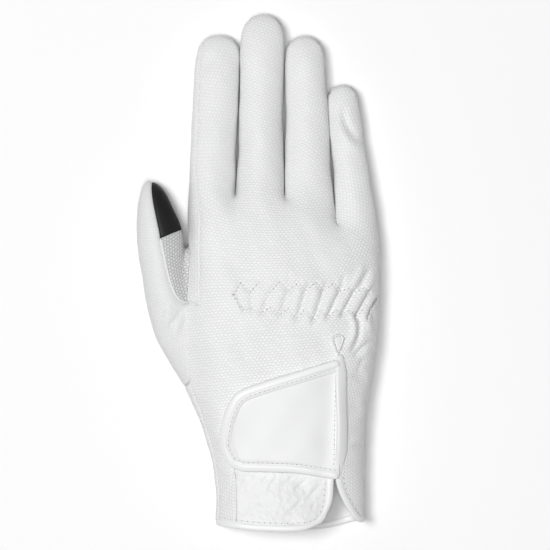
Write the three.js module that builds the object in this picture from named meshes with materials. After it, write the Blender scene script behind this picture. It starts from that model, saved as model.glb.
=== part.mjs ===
// A right-hand riding glove in white synthetic leather, lying on its palm with the fingers together.
// Millimetres: +Y towards the fingertips, -X the thumb side, +Z the back of the hand, the origin under its middle.
//
// The skin is one smooth hollow form, worked out from a coarse cage by Catmull-Clark subdivision and then
// cut along its seams into the panels that a glover sews together. Tab, bindings, piping and stay lie on it.

import * as THREE from "three";

// Driving sizes of the hand and its leather.
const HAND_LENGTH = 150; // hem to the fork of index and middle finger
const HAND_WIDTH = 88; // across the knuckles, without the thumb
const WRIST_WIDTH = 67; // across the cuff
const HAND_HEIGHT = 25; // palm to back
const THUMB_HEIGHT = 20; // the thumb lies on its side
const LEATHER = 1.2; // wall of every panel
const SEAM_GAP = 0.3; // clearance between sewn pieces
const TAB_LENGTH = 53.3; // closing tab, from its round end to the slit
const TAB_HEIGHT = 53.4; // closing tab at the slit
const TAB_THICKNESS = 1.6;
const TAB_BINDING = 3.1; // width of the rolled strip round the tab
const HEM_ROLL = 2.3; // width of the rolled strip round hem and slit
const PLEAT_DEPTH = 2.2; // deepest gather across the knuckles' little-finger side

// Fingers, from the thumb side. lean is how far the tip stands towards the little finger.
const FINGERS = [
  { name: "index", length: 76.5, baseWidth: 20.8, tipWidth: 19.9, height: 16.5, lean: 3.2 },
  { name: "middle", length: 85, baseWidth: 20.4, tipWidth: 19.2, height: 17.0, lean: 1.8 },
  { name: "ring", length: 81, baseWidth: 22.0, tipWidth: 17.6, height: 16.5, lean: -3.2 },
  { name: "little", length: 66.5, baseWidth: 18.2, tipWidth: 14.8, height: 15.0, lean: -6.4 },
];

// Sections of a finger, root to tip: at is a share of its length, width and height of its own width and height,
// lift the height of its underside as a share of its height, tipward how far it has gone from base to tip width.
const FINGER_SECTIONS = [
  { at: 0.13, width: 1.0, height: 1.14, lift: 0.0, tipward: 0.1 },
  { at: 0.45, width: 0.98, height: 1.0, lift: 0.05, tipward: 0.5 },
  { at: 0.86, width: 1.04, height: 0.92, lift: 0.04, tipward: 1.0 },
  { at: 0.985, width: 0.88, height: 0.68, lift: 0.1, tipward: 1.0 },
];
const FINGER_END = { at: 1.03, upper: 0.62, lower: 0.34 }; // the two points that close a fingertip

// Round a finger: across is a share of its width from the middle, up a share of its height.
const FINGER_RING = [
  { across: -0.5, up: 0.85 },
  { across: 0.0, up: 1.08 },
  { across: 0.5, up: 0.85 },
  { across: 0.51, up: 0.58 },
  { across: 0.51, up: 0.3 },
  { across: 0.44, up: 0.0 },
  { across: 0.0, up: 0.0 },
  { across: -0.44, up: 0.0 },
  { across: -0.51, up: 0.3 },
  { across: -0.51, up: 0.58 },
];

// Rows of the hand, hem to knuckles. thumbSide, middle and littleSide place the row as shares of HAND_LENGTH,
// spread goes from WRIST_WIDTH at 0 to HAND_WIDTH at 1, shift is the row's middle as a share of HAND_WIDTH,
// inset how far the side seam lies inside the outline as a share of HAND_WIDTH, height a share of HAND_HEIGHT,
// and seamUp the side seam's height as a share of the row's.
const HAND_ROWS = [
  { thumbSide: 0.034, middle: 0.018, littleSide: 0.048, spread: 0.02, shift: 0.006, inset: 0.005, height: 0.95, seamUp: 0.55 },
  { thumbSide: 0.09, middle: 0.085, littleSide: 0.1, spread: 0.03, shift: 0.008, inset: 0.008, height: 0.92, seamUp: 0.55 },
  { thumbSide: 0.15, middle: 0.148, littleSide: 0.155, spread: 0.04, shift: 0.006, inset: 0.01, height: 0.9, seamUp: 0.55 },
  { thumbSide: 0.245, middle: 0.245, littleSide: 0.245, spread: 0.18, shift: -0.009, inset: 0.015, height: 0.93, seamUp: 0.55 },
  { thumbSide: 0.346, middle: 0.346, littleSide: 0.346, spread: 0.54, shift: -0.034, inset: 0.025, height: 0.97, seamUp: 0.58 },
  { thumbSide: 0.437, middle: 0.44, littleSide: 0.44, spread: 0.94, shift: -0.06, inset: 0.045, height: 1.01, seamUp: 0.64 },
  { thumbSide: 0.559, middle: 0.567, littleSide: 0.56, spread: 0.96, shift: -0.039, inset: 0.01, height: 1.04, seamUp: 0.72 },
  { thumbSide: 0.69, middle: 0.64, littleSide: 0.64, spread: 1.0, shift: -0.029, inset: 0.0, height: 1.03, seamUp: 0.7 },
  { thumbSide: 0.868, middle: 0.757, littleSide: 0.76, spread: 1.02, shift: -0.023, inset: 0.0, height: 1.01, seamUp: 0.56 },
  { thumbSide: 0.934, middle: 0.879, littleSide: 0.843, spread: 0.99, shift: -0.026, inset: 0.0, height: 0.97, seamUp: 0.56 },
  { thumbSide: 0.99, middle: 1.0, littleSide: 0.9, spread: 0.95, shift: -0.029, inset: 0.0, height: 0.88, seamUp: 0.56 },
];
const ROW_HEM = 0;
const ROW_CUFF_TOP = 3; // the smooth cuff panel ends here, under the tab
const ROW_THUMB_LOW = 5; // the thumb's hole runs from this row
const ROW_SLIT_TOP = 6; // the wrist slit ends here
const ROW_SIDE_END = 7; // the index side panel ends here
const ROW_WEB = 8; // to this one, the web between thumb and hand
const ROW_KNUCKLE = 10;

// Columns across the back, thumb side to little finger: wrist and knuckle are shares of the row's width from
// its thumb side, up a share of the row's height, reach the fork's share of HAND_LENGTH in the knuckle row.
const BACK_COLUMNS = [
  { wrist: 0.055, knuckle: 0.055, up: 0.83, reach: 0.99 },
  { wrist: 0.12, knuckle: 0.145, up: 0.97, reach: 1.0 },
  { wrist: 0.27, knuckle: 0.247, up: 1.02, reach: 1.004 },
  { wrist: 0.43, knuckle: 0.378, up: 1.04, reach: 1.0 },
  { wrist: 0.59, knuckle: 0.509, up: 1.04, reach: 1.004 },
  { wrist: 0.72, knuckle: 0.645, up: 1.03, reach: 0.965 },
  { wrist: 0.836, knuckle: 0.782, up: 1.0, reach: 0.921 },
  { wrist: 0.915, knuckle: 0.89, up: 0.93, reach: 0.903 },
  { wrist: 0.975, knuckle: 0.97, up: 0.8, reach: 0.9 },
];
const FORK_COLUMNS = [2, 4, 6];
const SLIT_COLUMN = 6;
const CUFF_PANEL_FROM = 1; // the cuff panel lies between this column and the slit
const FORK_SINK = 0.9; // the back lies this much lower at a fork than at its neighbours
const SIDE_UP = [0.52, 0.24]; // heights of the two rows of points down the little finger's side
const SOLE_INSET = 0.05; // the palm's outer column lies this share of the width inside the outline
const ROLL_START = 9; // the rolled strip starts this far below the slit's end on the right flap
const ROLL_END = 22; // and this far below it on the left flap, under the tab
const ROLL_PUFF = 0.9; // half its thickness as a share of the leather's
const ROW_EASE = 0.3; // share of the width over which a row turns from its thumb side to its middle
const WRIST_END = 0.25; // the columns keep their wrist shares up to this share of the length

// The V below the tab, where the two flaps of the slit part, hem upwards. left and right are shares of WRIST_WIDTH
// from the slit's column, leftUp and rightUp shares of the height there.
const SLIT_HALF_GAP = 2.9; // room for the rolled strips of both flaps
const SLIT_OPENING = [
  { left: -0.17, right: 0.15, leftUp: 1.0, rightUp: 0.74 },
  { left: -0.066, right: 0.062, leftUp: 1.0, rightUp: 0.92 },
  { left: -0.085, right: -0.008, leftUp: 1.0, rightUp: 1.0 },
];

const SLIT_FOLLOW = [0.75, 0.35]; // how far the columns left of the V move with its edge

// Gathers across the knuckles, thumb side first: at is a share of HAND_WIDTH from the hand's middle, depth of PLEAT_DEPTH.
const PLEATS = [
  { at: -0.187, depth: 0.22 },
  { at: -0.094, depth: 0.24 },
  { at: 0.005, depth: 0.3 },
  { at: 0.093, depth: 0.45 },
  { at: 0.181, depth: 0.65 },
  { at: 0.255, depth: 0.85 },
  { at: 0.327, depth: 1.0 },
  { at: 0.4, depth: 0.8 },
  { at: 0.462, depth: 0.45 },
];
const PLEAT_SLANT = 0.45; // sideways step of a pleat for each step towards the fingers
const PLEAT_HALF_WIDTH = 3.3;
const PLEAT_MIDDLE = 0.708; // share of HAND_LENGTH where the band of pleats has its middle
const PLEAT_REACH = 0.088; // and how far it fades out on each side
const PLEAT_ROWS = [13, 17]; // half rows of the hand that are fine enough to be pleated
const PLEAT_COLUMNS = [4, 19];
const PLEAT_CUTS = { across: 4, along: 2 };

// Outline of the closing tab from its round end to the slit: at is a share of TAB_LENGTH, upper and lower of TAB_HEIGHT.
const TAB_EDGE = [
  { at: 0.002, upper: 0.349, lower: 0.281 },
  { at: 0.015, upper: 0.435, lower: 0.238 },
  { at: 0.036, upper: 0.521, lower: 0.189 },
  { at: 0.075, upper: 0.645, lower: 0.132 },
  { at: 0.13, upper: 0.715, lower: 0.096 },
  { at: 0.203, upper: 0.758, lower: 0.072 },
  { at: 0.337, upper: 0.803, lower: 0.07 },
  { at: 0.489, upper: 0.863, lower: 0.065 },
  { at: 0.643, upper: 0.906, lower: 0.058 },
  { at: 0.811, upper: 0.952, lower: 0.033 },
  { at: 1.0, upper: 1.0, lower: 0.0 },
];
const TAB_CORNER = { x: 0.258, y: 0.159 }; // its lower corner at the slit, as shares of HAND_WIDTH and HAND_LENGTH
const TAB_CUTS = 6; // pieces from its lower to its upper edge
const TAB_CLEARANCE = { end: 0.8, slit: 1.0, middle: 2.0 }; // its underside over the back of the hand
const PAD = { left: 0.3, right: 0.8, lower: 0.22, upper: 0.66, thickness: 0.9 }; // hook pad, as shares of the tab
const STAY = { x: 0.276, y: 0.571, width: 5.1, length: 9.1, thickness: 0.9 }; // teardrop at the slit's end
const STAY_EDGE = [
  { along: -0.5, half: 0.03 },
  { along: -0.3, half: 0.2 },
  { along: 0.05, half: 0.4 },
  { along: 0.3, half: 0.5 },
  { along: 0.5, half: 0.12 },
];

// Rings of the thumb, root to tip. inner is the side by the hand, seam the line seen from above, outer the
// outline. x as shares of HAND_WIDTH from the hand's middle, y as shares of HAND_LENGTH, low and high of THUMB_HEIGHT.
const THUMB_RINGS = [
  { innerX: -0.535, innerY: 0.866, seamX: -0.578, seamY: 0.682, outerX: -0.668, outerY: 0.54, low: 0.0, high: 0.98 },
  { innerX: -0.537, innerY: 0.885, seamX: -0.632, seamY: 0.778, outerX: -0.758, outerY: 0.7, low: 0.0, high: 1.02 },
  { innerX: -0.541, innerY: 0.912, seamX: -0.674, seamY: 0.9, outerX: -0.79, outerY: 0.865, low: 0.02, high: 1.02 },
  { innerX: -0.6, innerY: 0.985, seamX: -0.7, seamY: 0.975, outerX: -0.79, outerY: 0.965, low: 0.05, high: 0.94 },
  { innerX: -0.652, innerY: 1.048, seamX: -0.72, seamY: 1.045, outerX: -0.772, outerY: 1.04, low: 0.15, high: 0.76 },
];
const THUMB_TIP = { x: -0.722, y: 1.082, up: 0.46, half: 0.012 };
const THUMB_RING = [
  { side: "outer", blend: 0.1, up: 0.82 },
  { side: "outer", blend: 0.5, up: 1.03 },
  { side: "seam", blend: 0.0, up: 1.06 },
  { side: "inner", blend: 0.04, up: 0.84 },
  { side: "inner", blend: 0.0, up: 0.45 },
  { side: "inner", blend: 0.04, up: 0.04 },
  { side: "seam", blend: 0.0, up: 0.0 },
  { side: "outer", blend: 0.5, up: 0.0 },
  { side: "outer", blend: 0.12, up: 0.02 },
  { side: "outer", blend: 0.0, up: 0.42 },
];

// The cage: points and faces, each face with the piece that it becomes. A face's first edge runs across.
function newMesh() {
  return { points: [], faces: [] };
}

function addPoint(mesh, x, y, z) {
  return mesh.points.push(new THREE.Vector3(x, y, z)) - 1;
}

function addFace(mesh, corners, piece, row = -1, column = -1) {
  mesh.faces.push({ corners, piece, row, column });
}

const ease = (t) => {
  const s = Math.min(1, Math.max(0, t));
  return s * s * (3 - 2 * s);
};
const mix = (a, b, t) => a + (b - a) * t;

// The hand's cage. Each row is a ring: back columns, two side points, sole columns, two side points.
function rowShape(row) {
  const width = mix(WRIST_WIDTH, HAND_WIDTH, row.spread);
  const left = row.shift * HAND_WIDTH - width / 2;
  return { width, left, height: row.height * HAND_HEIGHT };
}

function handPoint(rowIndex, columnIndex) {
  const row = HAND_ROWS[rowIndex];
  const column = BACK_COLUMNS[columnIndex];
  const { width, left, height } = rowShape(row);
  const along = ease((row.middle - WRIST_END) / (1 - WRIST_END));
  const share = mix(column.wrist, column.knuckle, along);
  const seam = (row.inset * HAND_WIDTH) / width;
  let y = mix(row.thumbSide, row.middle, ease(share / ROW_EASE));
  y = mix(y, row.littleSide, ease((share - 1 + ROW_EASE) / ROW_EASE));
  if (rowIndex === ROW_KNUCKLE) y = column.reach;
  return {
    x: left + (share + seam * (1 - ease(share / ROW_EASE))) * width,
    y: y * HAND_LENGTH,
    up: column.up * height,
    height,
  };
}

function buildHand(mesh) {
  const rows = HAND_ROWS.map((row, r) => {
    const { width, left, height } = rowShape(row);
    const yThumb = row.thumbSide * HAND_LENGTH;
    const yLittle = row.littleSide * HAND_LENGTH;
    const top = [];
    const sole = [];
    BACK_COLUMNS.forEach((column, c) => {
      const p = handPoint(r, c);
      const sink = r === ROW_KNUCKLE && FORK_COLUMNS.includes(c) ? FORK_SINK : 1;
      top.push(addPoint(mesh, p.x, p.y, p.up * sink));
      const share = (p.x - left) / width;
      const inside = Math.min(1 - SOLE_INSET, Math.max(SOLE_INSET, share));
      sole.push(addPoint(mesh, left + inside * width, p.y, 0));
    });
    const rightEdge = left + width;
    const right = SIDE_UP.map((up) => addPoint(mesh, rightEdge, yLittle, up * height));
    const seamUp = row.seamUp * height;
    const seam = addPoint(mesh, left + row.inset * HAND_WIDTH, yThumb, seamUp);
    const side = addPoint(mesh, left, yThumb, seamUp * (SIDE_UP[1] / SIDE_UP[0]));
    return { top, right, sole: sole.reverse(), left: [side, seam] };
  });
  const rings = rows.map((row) => [...row.top, ...row.right, ...row.sole, ...row.left]);
  const columns = BACK_COLUMNS.length;
  const ringSize = rings[0].length;
  const segment = {
    sideHigh: columns - 1,
    sideMiddle: columns,
    sole: columns + 1,
    soleEnd: 2 * columns + 1,
    thumbLow: 2 * columns + 1,
    thumbHigh: 2 * columns + 2,
    seamToBack: 2 * columns + 3,
  };

  const slit = openSlit(mesh, rows);
  for (let r = ROW_HEM; r < ROW_KNUCKLE; r++) {
    for (let c = 0; c < ringSize; c++) {
      const inThumbHole =
        r >= ROW_THUMB_LOW && r < ROW_WEB && (c === segment.thumbLow || c === segment.thumbHigh);
      if (inThumbHole) continue;
      const next = (c + 1) % ringSize;
      const corners = [rings[r][c], rings[r][next], rings[r + 1][next], rings[r + 1][c]];
      const rightOfSlit = c >= SLIT_COLUMN && c < ringSize / 2;
      const own = rightOfSlit ? corners.map((i) => slit.get(i) ?? i) : corners;
      addFace(mesh, own, handPiece(r, c, segment), r, c);
    }
  }
  return { rows, rings };
}

function handPiece(r, c, segment) {
  const onIndexSide = r >= ROW_WEB;
  if (c < segment.sideHigh) {
    const inCuff = r < ROW_CUFF_TOP && c >= CUFF_PANEL_FROM && c < SLIT_COLUMN;
    return inCuff ? "cuff_panel" : "back_panel";
  }
  if (c === segment.sideHigh || c === segment.sideMiddle) return "back_panel";
  if (c < segment.thumbLow) return "palm_panel";
  if (c === segment.seamToBack) return r >= ROW_SIDE_END ? "index_side_panel" : "back_panel";
  return onIndexSide ? "index_side_panel" : "palm_panel";
}

// Doubles the slit's points: the old ones go to the left flap, the new ones to the right flap.
function openSlit(mesh, rows) {
  const doubled = new Map();
  for (let r = ROW_HEM; r < ROW_SLIT_TOP; r++) {
    const index = rows[r].top[SLIT_COLUMN];
    const p = mesh.points[index];
    const v = SLIT_OPENING[r];
    const right = p.clone();
    if (v) {
      right.x += v.right * WRIST_WIDTH;
      right.z *= v.rightUp;
      p.x += v.left * WRIST_WIDTH;
      p.z *= v.leftUp;
    } else {
      right.x += SLIT_HALF_GAP;
      p.x -= SLIT_HALF_GAP;
    }
    doubled.set(index, addPoint(mesh, right.x, right.y, right.z));
    if (!v) continue;
    // The columns beside the V make room for its edges: on the left they shift, on the right they close up.
    SLIT_FOLLOW.forEach((share, k) => {
      mesh.points[rows[r].top[SLIT_COLUMN - 1 - k]].x += share * v.left * WRIST_WIDTH;
    });
    if (v.right < 0.05) continue;
    for (const c of [SLIT_COLUMN + 1, SLIT_COLUMN + 2]) {
      const q = mesh.points[rows[r].top[c]];
      const edge = mesh.points[rows[r].right[0]];
      const t = (c - SLIT_COLUMN) / (BACK_COLUMNS.length - SLIT_COLUMN);
      q.x = mix(right.x, edge.x, Math.sqrt(t));
      q.z = mix(right.z, edge.z, t);
    }
  }
  return doubled;
}

// The four fingers, each a tube of rings from its root among the knuckle row's points to a closed tip.
function buildFingers(mesh, hand) {
  const knuckle = hand.rows[ROW_KNUCKLE];
  const soleOf = (c) => knuckle.sole[BACK_COLUMNS.length - 1 - c];
  const forks = new Map();
  for (const c of FORK_COLUMNS) {
    const top = mesh.points[knuckle.top[c]];
    forks.set(c, SIDE_UP.map((up) => addPoint(mesh, top.x, top.y, (up * top.z) / FORK_SINK)));
  }
  FINGERS.forEach((finger, i) => {
    const c = 2 * i;
    const right = forks.get(c + 2) ?? knuckle.right;
    const left = forks.get(c) ?? [knuckle.left[1], knuckle.left[0]];
    const root = [
      knuckle.top[c],
      knuckle.top[c + 1],
      knuckle.top[c + 2],
      ...right,
      soleOf(c + 2),
      soleOf(c + 1),
      soleOf(c),
      left[1],
      left[0],
    ];
    const [tl, , tr, r1, , , , , , l1] = root.map((p) => mesh.points[p]);
    const start = new THREE.Vector3((r1.x + l1.x) / 2, (tl.y + tr.y) / 2, 0);
    const pieces = fingerPieces(i);
    let ring = root;
    for (const section of FINGER_SECTIONS) {
      const next = fingerRing(mesh, finger, section, start);
      joinRings(mesh, ring, next, pieces);
      ring = next;
    }
    closeFinger(mesh, finger, ring, start);
  });
}

const FOURCHETTES = ["fourchette_index_middle", "fourchette_middle_ring", "fourchette_ring_little"];

function fingerPieces(i) {
  const leftSide = i === 0 ? "index_side_panel" : FOURCHETTES[i - 1];
  const last = i === FINGERS.length - 1;
  const rightSide = last ? ["back_panel", "palm_panel"] : Array(2).fill(FOURCHETTES[i]);
  const back = Array(3).fill("back_panel");
  const palm = Array(2).fill("palm_panel");
  return [...back, ...rightSide, ...palm, leftSide, leftSide, i === 0 ? leftSide : "back_panel"];
}

function fingerAxis(finger, start, at) {
  return { x: start.x + finger.lean * at, y: start.y + finger.length * at };
}

function fingerRing(mesh, finger, section, start) {
  const centre = fingerAxis(finger, start, section.at);
  const width = section.width * mix(finger.baseWidth, finger.tipWidth, section.tipward);
  const height = section.height * finger.height;
  const tilt = finger.lean / finger.length;
  return FINGER_RING.map(({ across, up }) =>
    addPoint(
      mesh,
      centre.x + across * width,
      centre.y - across * width * tilt,
      section.lift * finger.height + up * height,
    ),
  );
}

function joinRings(mesh, ring, next, pieces) {
  ring.forEach((_, k) => {
    const after = (k + 1) % ring.length;
    addFace(mesh, [ring[k], ring[after], next[after], next[k]], pieces[k]);
  });
}

function closeFinger(mesh, finger, ring, start) {
  const end = fingerAxis(finger, start, FINGER_END.at);
  const [tl, tm, tr, r1, r2, br, bm, bl, l2, l1] = ring;
  const upper = addPoint(mesh, end.x, end.y, FINGER_END.upper * finger.height);
  const lower = addPoint(mesh, end.x, end.y, FINGER_END.lower * finger.height);
  addFace(mesh, [tl, tm, upper, l1], "back_panel");
  addFace(mesh, [tm, tr, r1, upper], "back_panel");
  addFace(mesh, [l1, upper, lower, l2], "palm_panel");
  addFace(mesh, [upper, r1, r2, lower], "palm_panel");
  addFace(mesh, [l2, lower, bm, bl], "palm_panel");
  addFace(mesh, [lower, r2, br, bm], "palm_panel");
}

// The thumb, a bent tube that grows out of the hole in the hand's thumb side.
function buildThumb(mesh, hand) {
  const seam = hand.rows.map((row) => row.left[1]);
  const side = hand.rows.map((row) => row.left[0]);
  const sole = hand.rows.map((row) => row.sole[row.sole.length - 1]);
  const low = ROW_THUMB_LOW;
  const root = [
    seam[low],
    seam[low + 1],
    seam[low + 2],
    seam[ROW_WEB],
    side[ROW_WEB],
    sole[ROW_WEB],
    sole[low + 2],
    sole[low + 1],
    sole[low],
    side[low],
  ];
  const back = "thumb_back";
  let ring = root;
  THUMB_RINGS.forEach((shape, k) => {
    const front = k > 2 ? "thumb_touch_patch" : "thumb_front";
    const next = thumbRing(mesh, shape);
    joinRings(mesh, ring, next, [back, back, front, front, front, front, back, back, back, back]);
    ring = next;
  });
  const [ot, ta, tb, it, im, ib, bb, ba, ob, om] = ring;
  const tip = (side) =>
    addPoint(
      mesh,
      (THUMB_TIP.x + side * THUMB_TIP.half) * HAND_WIDTH,
      THUMB_TIP.y * HAND_LENGTH,
      THUMB_TIP.up * THUMB_HEIGHT,
    );
  const outer = tip(-1);
  const inner = tip(1);
  addFace(mesh, [ot, ta, outer, om], back);
  addFace(mesh, [ta, tb, inner, outer], back);
  addFace(mesh, [tb, it, im, inner], "thumb_touch_patch");
  addFace(mesh, [om, outer, ba, ob], back);
  addFace(mesh, [outer, inner, bb, ba], back);
  addFace(mesh, [inner, im, ib, bb], "thumb_touch_patch");
}

function thumbRing(mesh, shape) {
  return THUMB_RING.map(({ side, blend, up }) => {
    const x = mix(shape[side + "X"], shape.seamX, blend) * HAND_WIDTH;
    const y = mix(shape[side + "Y"], shape.seamY, blend) * HAND_LENGTH;
    return addPoint(mesh, x, y, mix(shape.low, shape.high, up) * THUMB_HEIGHT);
  });
}

// Catmull-Clark subdivision.
const edgeKey = (a, b) => (a < b ? a + "_" + b : b + "_" + a);

function edgesOf(mesh) {
  const edges = new Map();
  mesh.faces.forEach((face, f) => {
    face.corners.forEach((a, k) => {
      const b = face.corners[(k + 1) % face.corners.length];
      const key = edgeKey(a, b);
      if (!edges.has(key)) edges.set(key, { a, b, faces: [] });
      edges.get(key).faces.push(f);
    });
  });
  return edges;
}

function centreOf(mesh, corners) {
  const c = new THREE.Vector3();
  corners.forEach((i) => c.add(mesh.points[i]));
  return c.divideScalar(corners.length);
}

function subdivide(mesh) {
  const out = newMesh();
  const edges = edgesOf(mesh);
  const facePoints = mesh.faces.map((face) => centreOf(mesh, face.corners));
  const around = mesh.points.map(() => ({ faces: [], edges: [], rim: [] }));
  mesh.faces.forEach((face, f) => face.corners.forEach((i) => around[i].faces.push(facePoints[f])));
  for (const edge of edges.values()) {
    edge.middle = centreOf(mesh, [edge.a, edge.b]);
    for (const i of [edge.a, edge.b]) {
      around[i].edges.push(edge.middle);
      if (edge.faces.length === 1) around[i].rim.push(edge.middle);
    }
  }
  mesh.points.forEach((p, i) => {
    const { faces, edges: middles, rim } = around[i];
    const q = new THREE.Vector3();
    if (rim.length) {
      q.copy(p).multiplyScalar(0.5);
      rim.forEach((m) => q.addScaledVector(m, 0.25));
    } else {
      const n = faces.length;
      faces.forEach((m) => q.addScaledVector(m, 1 / (n * n)));
      middles.forEach((m) => q.addScaledVector(m, 2 / (n * n)));
      q.addScaledVector(p, (n - 3) / n);
    }
    out.points.push(q);
  });
  for (const edge of edges.values()) {
    const q = edge.middle.clone();
    if (edge.faces.length === 2) {
      q.multiplyScalar(0.5);
      edge.faces.forEach((f) => q.addScaledVector(facePoints[f], 0.25));
    }
    edge.point = out.points.push(q) - 1;
  }
  mesh.faces.forEach((face, f) => {
    const centre = out.points.push(facePoints[f].clone()) - 1;
    const [a, b, c, d] = face.corners;
    const [ab, bc, cd, da] = [
      [a, b],
      [b, c],
      [c, d],
      [d, a],
    ].map(([p, q]) => edges.get(edgeKey(p, q)).point);
    const [row, column] = [2 * face.row, 2 * face.column];
    addFace(out, [a, ab, centre, da], face.piece, row, column);
    addFace(out, [ab, b, bc, centre], face.piece, row, column + 1);
    addFace(out, [centre, bc, c, cd], face.piece, row + 1, column + 1);
    addFace(out, [da, centre, cd, d], face.piece, row + 1, column);
  });
  return out;
}

// Moves every point onto the smooth surface that endless subdivision would reach.
function settle(mesh) {
  const around = mesh.points.map(() => ({ near: new Set(), far: [], rim: [] }));
  for (const edge of edgesOf(mesh).values()) {
    around[edge.a].near.add(edge.b);
    around[edge.b].near.add(edge.a);
    if (edge.faces.length === 1) {
      around[edge.a].rim.push(edge.b);
      around[edge.b].rim.push(edge.a);
    }
  }
  mesh.faces.forEach(({ corners }) => corners.forEach((i, k) => around[i].far.push(corners[(k + 2) % 4])));
  const settled = mesh.points.map((p, i) => {
    const { near, far, rim } = around[i];
    const q = new THREE.Vector3();
    if (rim.length) {
      q.copy(p).multiplyScalar(4);
      rim.forEach((j) => q.add(mesh.points[j]));
      return q.divideScalar(6);
    }
    const n = near.size;
    q.copy(p).multiplyScalar(n * n);
    near.forEach((j) => q.addScaledVector(mesh.points[j], 4));
    far.forEach((j) => q.add(mesh.points[j]));
    return q.divideScalar(n * (n + 5));
  });
  mesh.points = settled;
  return mesh;
}

// Cuts the chosen faces into a finer grid. Their neighbours take the new points into their own edges.
function refine(mesh, chosen, { across, along }) {
  const out = { points: [...mesh.points], faces: [] };
  const cuts = new Map();
  const between = (a, b, count) => {
    const key = edgeKey(a, b);
    if (!cuts.has(key)) {
      const [low, high] = [Math.min(a, b), Math.max(a, b)].map((i) => mesh.points[i]);
      const line = Array.from({ length: count - 1 }, (_, k) => low.clone().lerp(high, (k + 1) / count));
      cuts.set(key, line.map((p) => out.points.push(p) - 1));
    }
    return a < b ? cuts.get(key) : [...cuts.get(key)].reverse();
  };
  mesh.faces.filter(chosen).forEach(({ corners: [a, b, c, d], piece }) => {
    const grid = [[a, ...between(a, b, across), b]];
    const [leftSide, rightSide] = [between(a, d, along), between(b, c, along)];
    for (let j = 1; j < along; j++) {
      const [left, right] = [leftSide[j - 1], rightSide[j - 1]];
      const inside = Array.from({ length: across - 1 }, (_, k) =>
        out.points.push(out.points[left].clone().lerp(out.points[right], (k + 1) / across)) - 1,
      );
      grid.push([left, ...inside, right]);
    }
    grid.push([d, ...between(d, c, across), c]);
    for (let j = 0; j < along; j++) {
      for (let k = 0; k < across; k++) {
        const corners = [grid[j][k], grid[j][k + 1], grid[j + 1][k + 1], grid[j + 1][k]];
        out.faces.push({ corners, piece, fine: true });
      }
    }
  });
  mesh.faces
    .filter((face) => !chosen(face))
    .forEach(({ corners, piece }) => {
      const loop = corners.flatMap((a, k) => {
        const b = corners[(k + 1) % corners.length];
        const cut = cuts.get(edgeKey(a, b)) ?? [];
        return [a, ...(a < b ? cut : [...cut].reverse())];
      });
      out.faces.push({ corners: loop, piece });
    });
  return out;
}

// Sinks the pleats' valleys into the fine part of the back.
function gather(mesh, normals) {
  const fine = new Set(mesh.faces.filter((face) => face.fine).flatMap((face) => face.corners));
  for (const i of fine) {
    const p = mesh.points[i];
    const offset = p.y - PLEAT_MIDDLE * HAND_LENGTH;
    const inBand = 1 - ease(Math.abs(offset) / (PLEAT_REACH * HAND_LENGTH));
    const u = p.x - PLEAT_SLANT * offset;
    let depth = 0;
    for (const pleat of PLEATS) {
      const away = Math.abs(u - pleat.at * HAND_WIDTH) / PLEAT_HALF_WIDTH;
      if (away < 1) depth = Math.max(depth, pleat.depth * PLEAT_DEPTH * (1 - away) ** 1.5);
    }
    p.addScaledVector(normals[i], -depth * inBand * Math.max(0, normals[i].z));
  }
}

// Normals of the whole skin at its points.
function normalsOf(mesh) {
  const normals = mesh.points.map(() => new THREE.Vector3());
  mesh.faces.forEach(({ corners }) => {
    const centre = centreOf(mesh, corners);
    corners.forEach((i, k) => {
      const j = corners[(k + 1) % corners.length];
      const u = mesh.points[i].clone().sub(centre);
      const v = mesh.points[j].clone().sub(centre);
      const n = u.cross(v);
      normals[i].add(n);
      normals[j].add(n);
    });
  });
  normals.forEach((n) => n.normalize());
  return normals;
}

// One panel as a closed solid: its faces, the same faces a wall further in, and a rim between them.
function panelSolid(mesh, normals, piece) {
  const faces = mesh.faces.filter((face) => face.piece === piece);
  const panel = { points: mesh.points, faces };
  const rimEdges = [...edgesOf(panel).values()].filter((edge) => edge.faces.length === 1);
  const onRim = new Set(rimEdges.flatMap((edge) => [edge.a, edge.b]));
  const pull = new Map([...onRim].map((i) => [i, new THREE.Vector3()]));
  faces.forEach(({ corners }) => {
    const centre = centreOf(mesh, corners);
    corners.filter((i) => onRim.has(i)).forEach((i) => pull.get(i).add(centre).sub(mesh.points[i]));
  });
  const positions = [];
  const place = new Map();
  const vertex = (i, inner) => {
    const key = inner ? ~i : i;
    if (!place.has(key)) {
      const p = mesh.points[i].clone();
      if (onRim.has(i)) {
        const inward = pull.get(i).projectOnPlane(normals[i]).normalize();
        p.addScaledVector(inward, SEAM_GAP / 2);
      }
      if (inner) p.addScaledVector(normals[i], -LEATHER);
      place.set(key, positions.push(p) - 1);
    }
    return place.get(key);
  };
  const triangles = [];
  faces.forEach(({ corners }) => {
    const outer = corners.map((i) => vertex(i, false));
    const inner = corners.map((i) => vertex(i, true)).reverse();
    for (const loop of [outer, inner]) addLoop(positions, triangles, loop);
  });
  const directed = new Set();
  faces.forEach(({ corners }) =>
    corners.forEach((a, k) => directed.add(a + "_" + corners[(k + 1) % corners.length])),
  );
  rimEdges.forEach(({ a, b }) => {
    const [from, to] = directed.has(a + "_" + b) ? [a, b] : [b, a];
    const quad = [vertex(to, false), vertex(from, false), vertex(from, true), vertex(to, true)];
    addLoop(positions, triangles, quad);
  });
  return geometryOf(positions, triangles);
}

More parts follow.
